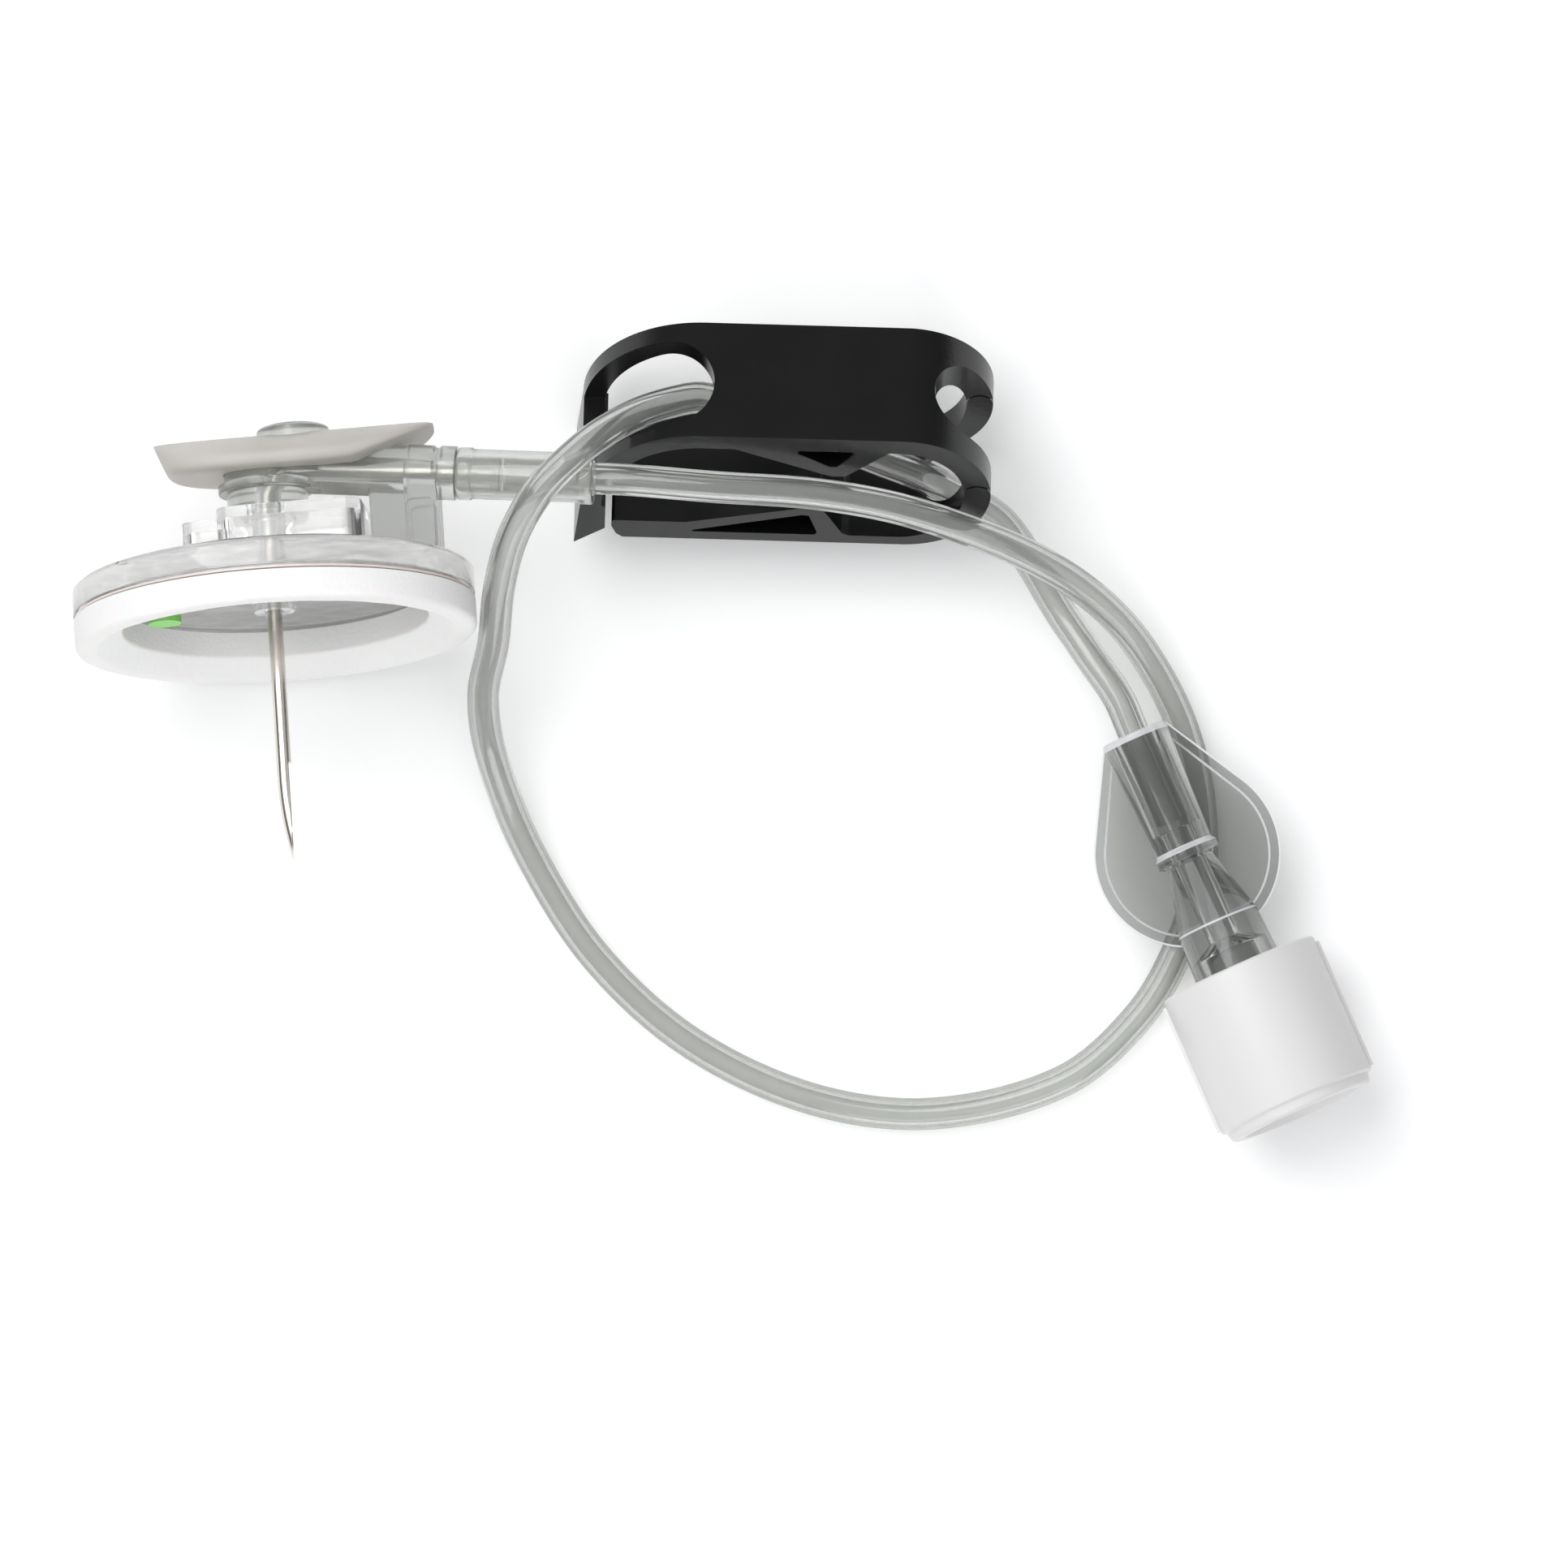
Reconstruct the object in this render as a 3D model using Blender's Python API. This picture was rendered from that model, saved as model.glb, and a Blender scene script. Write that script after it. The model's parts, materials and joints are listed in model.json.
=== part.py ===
"""Safety Huber needle set with winged luer line, lying on a table.

Metres, +Z up. The table is z = 0. The needle unit lies on the rim of its base plate,
with the needle level and clear of the table.
"""
import math

import bmesh
import bpy
from mathutils import Matrix, Vector

MM = 0.001

# Fits
SEAT_GAP = 0.1 * MM
FIT_GAP = 0.1 * MM
SLIDE_GAP = 0.15 * MM
ROUND_SIDES = 48

# Places on the table, from the middle of the layout
LAYOUT_ORIGIN = Vector((35.48, -10.16, 0)) * MM
HEAD_PLACE = Vector((-36.28, 10.24, 0)) * MM
HEAD_TURN = math.radians(3.5)
HEAD_TILT = math.radians(12.2)
HEAD_ROLL = math.radians(-6.5)
CLAMP_PLACE = Vector((0.44, 28.75, 0)) * MM
CLAMP_TURN = math.radians(-1.6)
CLAMP_TILT = math.radians(35.6)
LUER_PLACE = Vector((25.0, 3.6, 0)) * MM
LUER_TURN = math.radians(23.9)
LUER_RISE = math.radians(3.5)

# Radius that the foam pad, its adhesive and the base plate share
BASE_RADIUS = 14.4 * MM

# Foam pad and its adhesive
FOAM_RIM_WIDTH = 3.45 * MM
FOAM_THICKNESS = 2.2 * MM
FOAM_FACE_WIDTH = 1.5 * MM
FOAM_CUP_DEPTH = 1.2 * MM
FOAM_EDGE_ROUND = 0.45 * MM
ADHESIVE_THICKNESS = 0.15 * MM

# Base plate
PLATE_RIM_HEIGHT = 1.75 * MM
PLATE_THICKNESS = 2.45 * MM
PLATE_STEP_INSET = 0.7 * MM
PLATE_TOP_INSET = 1.7 * MM
PLATE_BOSS_RADIUS = 1.5 * MM
PLATE_BOSS_HEIGHT = 0.45 * MM
PLATE_NOTCH_WIDTH = 0.35 * MM
PLATE_NOTCH_DEPTH = 0.7 * MM
PLATE_NOTCH_ANGLE = math.radians(226)

# Lock indicator
INDICATOR_RADIUS = 1.2 * MM
INDICATOR_SINK = 0.4 * MM
INDICATOR_STAND = 0.4 * MM
INDICATOR_INSET = 2.83 * MM
INDICATOR_ANGLE = math.radians(172.2)

# Clip housing
HOUSING_LEFT = -3.4 * MM
HOUSING_RIGHT = 7.0 * MM
HOUSING_HALF_WIDTH = 4.2 * MM
HOUSING_HEIGHT = 4.1 * MM
STEP_LENGTH = 2.6 * MM
STEP_HALF_WIDTH = 3.4 * MM
STEP_HEIGHT = 3.4 * MM
HOUSING_WALL = 0.7 * MM
HOUSING_CORNER = 1.1 * MM

# Safety clip
CLIP_THICKNESS = 0.2 * MM
CLIP_WIDTH = 3.0 * MM
CLIP_HALF_SPAN = 2.4 * MM
CLIP_HEIGHT = 2.9 * MM

# Needle
NEEDLE_RADIUS = 0.53 * MM
NEEDLE_BORE_RADIUS = 0.35 * MM
NEEDLE_REACH = 16.2 * MM
NEEDLE_BEND_RADIUS = 2.2 * MM
NEEDLE_LEG = 16.5 * MM
TIP_BEND_LENGTH = 6.3 * MM
TIP_BEND_RADIUS = 24.0 * MM
NEEDLE_DROOP = math.radians(7.0)

# Needle hub
POST_RADIUS = 1.2 * MM
POST_CLEARANCE = 0.6 * MM
NECK_RADIUS = 2.9 * MM
NECK_HEIGHT = 1.5 * MM
SAUCER_RADIUS = 3.5 * MM
SAUCER_HEIGHT = 0.65 * MM
SHOULDER_RADIUS = 3.0 * MM
SHOULDER_HEIGHT = 1.4 * MM
HEAD_RADIUS = 2.6 * MM
HEAD_OFFSET = 2.1 * MM
HEAD_STAND = 0.8 * MM
HEAD_DOME = 0.5 * MM
BARREL_RADIUS = 1.85 * MM
BARREL_LENGTH = 12.4 * MM
COLLAR_RADIUS = 1.95 * MM
COLLAR_LENGTH = 1.4 * MM
NIPPLE_RADIUS = 1.15 * MM
NIPPLE_LENGTH = 3.2 * MM
ARM_LEFT = 10.0 * MM
ARM_RIGHT = 12.3 * MM
ARM_HALF_WIDTH = 1.8 * MM
PAD_HALF_WIDTH = 2.6 * MM
PAD_HEIGHT = 3.9 * MM
FIN_LEFT = 7.4 * MM
FIN_RIGHT = 9.3 * MM
FIN_HALF_WIDTH = 1.0 * MM
FIN_CLEARANCE = 2.6 * MM

# Wing grip
GRIP_LENGTH = 20.2 * MM
GRIP_WIDTH = 9.0 * MM
GRIP_OFFSET = 2.1 * MM
GRIP_THICKNESS = 2.2 * MM
GRIP_CEILING = 1.9 * MM
GRIP_CROWN = 0.95 * MM

# Tube and sleeve
TUBE_RADIUS = 1.15 * MM
SLEEVE_RADIUS = 1.9 * MM
SLEEVE_LENGTH = 9.8 * MM
TUBE_STEP = 4.6 * MM
TUBE_ROUTE = [
    (-19.91, 22.07, 14.63),
    (-17.24, 21.98, 15.00),
    (-13.57, 21.85, 15.50),
    (-12.29, 21.80, 15.68),
    (-10.60, 21.70, 15.85),
    (-4.99, 21.23, 15.90),
    (1.97, 20.76, 15.00),
    (7.77, 19.78, 13.30),
    (13.57, 17.98, 10.70),
    (17.52, 16.30, 8.20),
    (21.11, 14.15, 6.00),
    (24.30, 11.25, 4.00),
    (26.91, 7.42, 2.40),
    (28.65, 3.54, 1.50),
    (29.70, -1.10, 1.20),
    (29.81, -6.03, 1.20),
    (28.54, -10.96, 1.20),
    (25.46, -16.47, 1.20),
    (19.95, -21.23, 1.20),
    (10.67, -23.55, 1.20),
    (1.97, -22.50, 1.20),
    (-6.73, -18.44, 1.20),
    (-13.40, -12.41, 1.20),
    (-18.04, -5.16, 1.80),
    (-20.76, 1.51, 4.60),
    (-21.50, 6.15, 8.60),
    (-20.76, 10.21, 12.20),
    (-20.36, 13.98, 15.20),
    (-19.37, 17.75, 17.40),
    (-17.46, 21.05, 18.60),
    (-15.14, 23.37, 18.30),
    (-13.11, 25.00, 16.80),
    (-10.50, 26.45, 14.70),
    (-7.89, 27.32, 12.80),
    (-5.80, 27.61, 11.60),
    (-3.36, 26.80, 10.93),
    (-0.17, 25.75, 10.20),
    (3.02, 24.71, 9.56),
    (6.79, 23.20, 8.05),
    (9.51, 22.16, 6.80),
    (12.41, 20.71, 5.80),
    (15.37, 18.91, 4.40),
    (17.52, 16.01, 3.70),
    (19.66, 12.41, 3.70),
    (21.98, 8.93, 4.20),
    (23.84, 6.26, 4.53),
    (25.00, 3.60, 4.72),
    (26.42, 0.41, 4.93),
    (27.79, -2.70, 5.14),
]

# Pinch clamp, measured in the plane of its side face
CLAMP_WIDTH = 10.0 * MM
CLAMP_HEIGHT = 12.6 * MM
CLAMP_STRIP = 1.5 * MM
LATCH_BEND_RADIUS = 8.6 * MM
LATCH_BEND_X = -6.15 * MM
LATCH_DEPTH = 13.4 * MM
LATCH_SPLAY = 0.4 * MM
LATCH_TOOTH = 0.3 * MM
LATCH_TOOTH_TOP = 8.9 * MM
LATCH_TOOTH_FOOT = 11.6 * MM
HINGE_BEND_X = 8.25 * MM
HINGE_STRIP = 1.9 * MM
HINGE_GAP = 0.15 * MM
UPPER_JAW_DEPTH = 4.5 * MM
UPPER_JAW_LEFT = -3.8 * MM
UPPER_JAW_RIGHT = 7.2 * MM
JAW_X = 3.6 * MM
JAW_FLAT = 1.0 * MM
LOWER_JAW_DEPTH = 8.45 * MM
LOWER_JAW_X = 1.9 * MM
LEVER_STRIP = 0.9 * MM
LEVER_LEFT = -12.5 * MM
LEVER_LIP_DEPTH = 10.6 * MM
LATCH_SLOT_END = -5.4 * MM
LATCH_SLOT_NEAR = -4.0 * MM
LATCH_SLOT_FAR = 3.6 * MM
LATCH_SLOT_DEPTH = 7.6 * MM
HINGE_SLOT_WIDTH = 6.0 * MM
HINGE_SLOT_END = 10.35 * MM
LEVER_SLOT_END = 9.4 * MM

# Luer hub
SOCKET_MOUTH_RADIUS = 2.45 * MM
SOCKET_END_RADIUS = 2.1 * MM
SOCKET_LENGTH = 9.2 * MM
SOCKET_DEPTH = 7.5 * MM
HUB_FLANGE_RADIUS = 2.35 * MM
HUB_FLANGE_LENGTH = 0.6 * MM
HUB_WAIST_RADIUS = 1.65 * MM
HUB_CONE_END = 14.8 * MM
HUB_BODY_RADIUS = 3.0 * MM
HUB_END_RADIUS = 3.2 * MM
HUB_LENGTH = 24.6 * MM
LUG_RADIUS = 3.9 * MM
LUG_LENGTH = 1.0 * MM
LUER_MOUTH_RADIUS = 2.15 * MM
LUER_ROOT_RADIUS = 1.9 * MM
LUER_DEPTH = 7.6 * MM
FLOW_RADIUS = 0.8 * MM
WING_RADIUS = 6.7 * MM
WING_CENTRE = 9.4 * MM
WING_ROOT = 2.4 * MM
WING_THICKNESS = 1.0 * MM
WING_DROP = 1.0 * MM
WING_RIM = 0.75 * MM
WING_RECESS = 0.2 * MM

# Luer cap
CAP_RADIUS = 5.85 * MM
CAP_START = 18.4 * MM
CAP_LENGTH = 11.3 * MM
CAP_STEP_LENGTH = 0.9 * MM
CAP_STEP_RADIUS = 5.4 * MM
CAP_WALL = 1.7 * MM
CAP_END_THICKNESS = 2.6 * MM
CAP_RECESS_RADIUS = 4.4 * MM
CAP_RECESS_DEPTH = 0.5 * MM
CAP_CORE_RADIUS = 1.1 * MM
CAP_CORE_DEPTH = 6.0 * MM
CAP_RIB_WIDTH = 0.6 * MM
CAP_RIB_STAND = 0.25 * MM

# Radii that follow from the base's radius
FOAM_HOLE_RADIUS = BASE_RADIUS - FOAM_RIM_WIDTH
FOAM_FACE_RADIUS = BASE_RADIUS - FOAM_FACE_WIDTH
PLATE_STEP_RADIUS = BASE_RADIUS - PLATE_STEP_INSET
PLATE_TOP_RADIUS = BASE_RADIUS - PLATE_TOP_INSET

# Levels along the needle axis, from the foam's face up to the grip
PLATE_BASE = FOAM_THICKNESS + ADHESIVE_THICKNESS + 2 * SEAT_GAP
PLATE_RIM_TOP = PLATE_BASE + PLATE_RIM_HEIGHT
PLATE_TOP = PLATE_BASE + PLATE_THICKNESS
HOUSING_BASE = PLATE_TOP + SEAT_GAP
HOUSING_TOP = HOUSING_BASE + HOUSING_HEIGHT
NECK_BASE = HOUSING_TOP + SEAT_GAP
SAUCER_BASE = NECK_BASE + NECK_HEIGHT
SHOULDER_BASE = SAUCER_BASE + SAUCER_HEIGHT
SHOULDER_TOP = SHOULDER_BASE + SHOULDER_HEIGHT
BARREL_LEVEL = SHOULDER_TOP - SEAT_GAP
GRIP_TOP = SHOULDER_TOP + SEAT_GAP + GRIP_CEILING
HEAD_TOP = GRIP_TOP + HEAD_STAND

# Heights over the table
HEAD_HEIGHT = BASE_RADIUS * math.cos(HEAD_TILT) + PLATE_RIM_TOP * math.sin(HEAD_TILT)
CLAMP_LIFT = CLAMP_WIDTH / 2 * math.sin(CLAMP_TILT) + LATCH_DEPTH * math.cos(CLAMP_TILT)
LUER_HEIGHT = CAP_RADIUS * math.cos(LUER_RISE) - CAP_START * math.sin(LUER_RISE)


def clear_scene():
    for item in list(bpy.data.objects):
        bpy.data.objects.remove(item, do_unlink=True)


def plastic(name, colour, roughness, transmission=0.0, metallic=0.0):
    material = bpy.data.materials.new(name)
    material.use_nodes = True
    shader = material.node_tree.nodes["Principled BSDF"]
    shader.inputs["Base Color"].default_value = (*colour, 1)
    shader.inputs["Roughness"].default_value = roughness
    shader.inputs["Metallic"].default_value = metallic
    shader.inputs["Transmission Weight"].default_value = transmission
    return material


def frame_empty(name, location, rotation, parent):
    empty = bpy.data.objects.new(name, None)
    bpy.context.collection.objects.link(empty)
    empty.parent = parent
    empty.location = location
    empty.rotation_euler = rotation
    return empty


def mesh_object(name, bm, parent, material=None):
    """Turn a closed bmesh into an object with outward faces."""
    bmesh.ops.remove_doubles(bm, verts=bm.verts, dist=0.001 * MM)
    bmesh.ops.recalc_face_normals(bm, faces=bm.faces)
    mesh = bpy.data.meshes.new(name)
    bm.to_mesh(mesh)
    bm.free()
    mesh.shade_smooth()
    mesh.set_sharp_from_angle(angle=math.radians(35))
    piece = bpy.data.objects.new(name, mesh)
    bpy.context.collection.objects.link(piece)
    piece.parent = parent
    if material:
        mesh.materials.append(material)
    return piece


def as_guide(piece):
    piece.hide_render = True
    piece.display_type = 'WIRE'
    return piece


def combine(target, operation, *guides):
    """Join guides to the target, or cut them from it."""
    for guide in guides:
        modifier = target.modifiers.new(guide.name, 'BOOLEAN')
        modifier.operation = operation
        modifier.solver = 'EXACT'
        modifier.object = as_guide(guide)


def turned(name, profile, parent, material=None, sides=ROUND_SIDES):
    """Spin a profile of (radius, height) points about Z. It closes on itself or on the axis."""
    bm = bmesh.new()
    ring = [bm.verts.new((radius, 0, height)) for radius, height in profile]
    edges = [bm.edges.new(pair) for pair in zip(ring, ring[1:])]
    if profile[0][0] > 0 or profile[-1][0] > 0:
        edges.append(bm.edges.new((ring[-1], ring[0])))
    bmesh.ops.spin(bm, geom=ring + edges, cent=(0, 0, 0), axis=(0, 0, 1),
                   angle=2 * math.pi, steps=sides, use_merge=True)
    return mesh_object(name, bm, parent, material)


def prism(name, outline, low, high, parent, material=None, along='Z'):
    """Extrude a closed outline between two levels along Z or Y."""
    bm = bmesh.new()
    if along == 'Z':
        corners = [bm.verts.new((x, y, low)) for x, y in outline]
        travel = Vector((0, 0, high - low))
    else:
        corners = [bm.verts.new((x, low, z)) for x, z in outline]
        travel = Vector((0, high - low, 0))
    face = bm.faces.new(corners)
    grown = bmesh.ops.extrude_face_region(bm, geom=[face])["geom"]
    moved = [item for item in grown if isinstance(item, bmesh.types.BMVert)]
    bmesh.ops.translate(bm, verts=moved, vec=travel)
    return mesh_object(name, bm, parent, material)


def arc(centre, radius_x, radius_z, start, end, steps):
    """Points on an ellipse's arc, angles in degrees."""
    points = []
    for step in range(steps + 1):
        angle = math.radians(start + (end - start) * step / steps)
        points.append((centre[0] + radius_x * math.cos(angle),
                       centre[1] + radius_z * math.sin(angle)))
    return points


def rounded_rectangle(left, right, low, high, radius, steps=5):
    points = []
    for x, y, start in ((right - radius, high - radius, 0), (left + radius, high - radius, 90),
                        (left + radius, low + radius, 180), (right - radius, low + radius, 270)):
        points += arc((x, y), radius, radius, start, start + 90, steps)
    return points


def swept(name, path, radius, parent, material=None, bore=0.0, sides=16):
    """A round bar, or a pipe with a bore, along a path that lies in the XZ plane."""
    bm = bmesh.new()
    rings = []
    for index, point in enumerate(path):
        ahead = path[min(index + 1, len(path) - 1)]
        behind = path[max(index - 1, 0)]
        run = (Vector(ahead) - Vector(behind)).normalized()
        side = Vector((run.z, 0, -run.x))
        for shell in (radius, bore) if bore else (radius,):
            ring = []
            for step in range(sides):
                angle = 2 * math.pi * step / sides
                offset = side * math.cos(angle) + Vector((0, 1, 0)) * math.sin(angle)
                ring.append(bm.verts.new(Vector(point) + offset * shell))
            rings.append(ring)
    shells = 2 if bore else 1
    for shell in range(shells):
        skin = rings[shell::shells]
        for first, second in zip(skin, skin[1:]):
            for step in range(sides):
                after = (step + 1) % sides
                bm.faces.new((first[step], first[after], second[after], second[step]))
    if not bore:
        bm.faces.new(rings[0])
        bm.faces.new(rings[-1])
        return mesh_object(name, bm, parent, material)
    for outer, inner in ((rings[0], rings[1]), (rings[-2], rings[-1])):
        for step in range(sides):
            after = (step + 1) % sides
            bm.faces.new((outer[step], outer[after], inner[after], inner[step]))
    return mesh_object(name, bm, parent, material)


def soften(piece, width, segments=2):
    """Round the piece's hard edges a little."""
    bevel = piece.modifiers.new("soft edges", 'BEVEL')
    bevel.width = width
    bevel.segments = segments
    bevel.limit_method = 'ANGLE'
    bevel.angle_limit = math.radians(40)


def make_foam_ring(base, material):
    edge = FOAM_EDGE_ROUND
    profile = [(FOAM_FACE_RADIUS, 0)] + arc((BASE_RADIUS - edge, edge), edge, edge, -90, 0, 4)
    profile += [(BASE_RADIUS, FOAM_THICKNESS), (FOAM_HOLE_RADIUS, FOAM_THICKNESS),
                (FOAM_HOLE_RADIUS, FOAM_CUP_DEPTH + edge / 2),
                (FOAM_HOLE_RADIUS + edge / 2, FOAM_CUP_DEPTH)]
    return turned("foam_ring", profile, base, material, 64)


def make_adhesive_ring(base, material):
    low = FOAM_THICKNESS + SEAT_GAP
    high = low + ADHESIVE_THICKNESS
    inner = FOAM_HOLE_RADIUS + FIT_GAP
    outer = BASE_RADIUS - FIT_GAP
    profile = [(inner, low), (outer, low), (outer, high), (inner, high)]
    return turned("adhesive_ring", profile, base, material)


def indicator_place():
    """The lock dot's middle, a fixed way in from the edge of the foam's hole."""
    reach = FOAM_HOLE_RADIUS - INDICATOR_INSET
    return reach * math.cos(INDICATOR_ANGLE), reach * math.sin(INDICATOR_ANGLE)


def make_base_plate(base, material):
    step_top = PLATE_RIM_TOP + (PLATE_TOP - PLATE_RIM_TOP) * 0.45
    bore = NEEDLE_RADIUS + SLIDE_GAP
    profile = [
        (bore, PLATE_BASE - PLATE_BOSS_HEIGHT),
        (PLATE_BOSS_RADIUS, PLATE_BASE - PLATE_BOSS_HEIGHT),
        (PLATE_BOSS_RADIUS, PLATE_BASE),
        (BASE_RADIUS - 0.2 * MM, PLATE_BASE),
        (BASE_RADIUS, PLATE_BASE + 0.2 * MM),
        (BASE_RADIUS, PLATE_RIM_TOP),
        (BASE_RADIUS - 0.35 * MM, step_top),
        (PLATE_STEP_RADIUS, step_top),
        (PLATE_STEP_RADIUS - 0.3 * MM, PLATE_TOP - 0.25 * MM),
        (PLATE_TOP_RADIUS, PLATE_TOP),
        (bore, PLATE_TOP),
    ]
    plate = turned("base_plate", profile, base, material, 64)
    reach = BASE_RADIUS + MM
    half = PLATE_NOTCH_WIDTH / 2
    notch = prism("notch_guide", [(PLATE_STEP_RADIUS - MM, -half), (reach, -half),
                                  (reach, half), (PLATE_STEP_RADIUS - MM, half)],
                  PLATE_TOP - PLATE_NOTCH_DEPTH, PLATE_TOP + MM, base)
    notch.rotation_euler = (0, 0, PLATE_NOTCH_ANGLE)
    pocket_radius = INDICATOR_RADIUS + FIT_GAP
    pocket = prism("indicator_guide", arc(indicator_place(), pocket_radius, pocket_radius, 0, 345, 23),
                   PLATE_BASE - MM, PLATE_BASE + INDICATOR_SINK + SEAT_GAP, base)
    combine(plate, 'DIFFERENCE', notch, pocket)
    return plate


def make_lock_indicator(base, material):
    dot = arc(indicator_place(), INDICATOR_RADIUS, INDICATOR_RADIUS, 0, 345, 23)
    low = PLATE_BASE - INDICATOR_STAND
    return prism("lock_indicator", dot, low, PLATE_BASE + INDICATOR_SINK, base, material)


def make_clip_housing(base, material):
    wall = HOUSING_WALL
    step_left = HOUSING_LEFT - STEP_LENGTH
    body = rounded_rectangle(HOUSING_LEFT, HOUSING_RIGHT, -HOUSING_HALF_WIDTH,
                             HOUSING_HALF_WIDTH, HOUSING_CORNER)
    step = rounded_rectangle(step_left, HOUSING_LEFT + HOUSING_CORNER * 2, -STEP_HALF_WIDTH,
                             STEP_HALF_WIDTH, HOUSING_CORNER)
    inner = rounded_rectangle(HOUSING_LEFT + wall, HOUSING_RIGHT - wall, wall - HOUSING_HALF_WIDTH,
                              HOUSING_HALF_WIDTH - wall, HOUSING_CORNER - wall / 2)
    step_inner = rounded_rectangle(step_left + wall, HOUSING_LEFT + HOUSING_CORNER * 2,
                                   wall - STEP_HALF_WIDTH, STEP_HALF_WIDTH - wall,
                                   HOUSING_CORNER - wall / 2)
    below = HOUSING_BASE - MM
    housing = prism("clip_housing", body, HOUSING_BASE, HOUSING_TOP, base, material)
    soften(housing, 0.3 * MM)
    step_top = HOUSING_BASE + STEP_HEIGHT
    combine(housing, 'UNION', prism("step_guide", step, HOUSING_BASE, step_top, base))
    combine(housing, 'DIFFERENCE',
            prism("housing_cavity", inner, below, HOUSING_TOP - wall, base),
            prism("step_cavity", step_inner, below, step_top - wall, base),
            prism("post_hole", arc((0, 0), POST_RADIUS + SLIDE_GAP, POST_RADIUS + SLIDE_GAP, 0, 345, 23),
                  HOUSING_TOP - 2 * wall, HOUSING_TOP + MM, base))
    return housing


def make_safety_clip(base, material):
    """A U of spring strip whose two leaves lean on the post, ready to close over the tip."""
    floor = HOUSING_BASE + CLIP_THICKNESS / 2
    top = floor + CLIP_HEIGHT
    lean = POST_RADIUS + SLIDE_GAP + CLIP_THICKNESS / 2
    half = CLIP_THICKNESS / 2
    right = [(lean + 0.35 * MM, top), (lean, top - 0.55 * MM), (CLIP_HALF_SPAN, floor + 1.1 * MM),
             (CLIP_HALF_SPAN, floor + 0.35 * MM), (CLIP_HALF_SPAN - 0.3 * MM, floor), (0, floor)]
    path = right + [(-x, z) for x, z in reversed(right[:-1])]
    sides = ([], [])
    for index, point in enumerate(path):
        ahead = Vector(path[min(index + 1, len(path) - 1)])
        behind = Vector(path[max(index - 1, 0)])
        run = (ahead - behind).normalized()
        normal = Vector((-run.y, run.x))
        sides[0].append(tuple(Vector(point) + normal * half))
        sides[1].append(tuple(Vector(point) - normal * half))
    outline = sides[0] + sides[1][::-1]
    clip = prism("safety_clip", outline, -CLIP_WIDTH / 2, CLIP_WIDTH / 2, base, material, 'Y')
    hole = NEEDLE_RADIUS + 2 * SLIDE_GAP
    combine(clip, 'DIFFERENCE', prism("clip_hole", arc((0, 0), hole, hole, 0, 345, 23),
                                      floor - MM, floor + MM, base))
    return clip


def leg_point(length):
    """A point on the drooping axis of the barrel, at a length from the needle's axis."""
    return Vector((length * math.cos(NEEDLE_DROOP), 0, BARREL_LEVEL - length * math.sin(NEEDLE_DROOP)))


def needle_path(start, end):
    """From a level on the needle's axis, round the bend and out to a length along the barrel."""
    turn = math.pi / 2 + NEEDLE_DROOP
    setback = NEEDLE_BEND_RADIUS * math.tan(turn / 2)
    bend_start = BARREL_LEVEL - setback
    path = [Vector((0, 0, start)), Vector((0, 0, bend_start))]
    steps = 10
    for step in range(1, steps + 1):
        angle = turn * step / steps
        path.append(Vector((NEEDLE_BEND_RADIUS * (1 - math.cos(angle)), 0,
                            bend_start + NEEDLE_BEND_RADIUS * math.sin(angle))))
    path.append(leg_point(end))
    return path


def make_needle(head, material):
    """A bent cannula. The tip bends off the axis and is ground flat beside it, so it cuts no core.

    The grind keeps the tip's corners inside the plate's guide hole.
    """
    bend_start = TIP_BEND_RADIUS * math.sin(TIP_BEND_LENGTH / TIP_BEND_RADIUS) - NEEDLE_REACH
    steps = 12
    tip = []
    for step in range(steps, 0, -1):
        angle = TIP_BEND_LENGTH / TIP_BEND_RADIUS * step / steps
        tip.append(Vector((TIP_BEND_RADIUS * (1 - math.cos(angle)), 0,
                           bend_start - TIP_BEND_RADIUS * math.sin(angle))))
    path = tip + needle_path(bend_start, NEEDLE_LEG)
    needle = swept("needle", path, NEEDLE_RADIUS, head, material, NEEDLE_BORE_RADIUS)
    face = math.sqrt((NEEDLE_RADIUS + SLIDE_GAP / 2) ** 2 - NEEDLE_RADIUS ** 2)
    grind = [(face, -NEEDLE_REACH - 3 * MM), (face + 3 * MM, -NEEDLE_REACH - 3 * MM),
             (face + 3 * MM, bend_start + MM), (face, bend_start + MM)]
    combine(needle, 'DIFFERENCE', prism("tip_grind", grind, -2 * MM, 2 * MM, head, along='Y'))
    return needle


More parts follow.
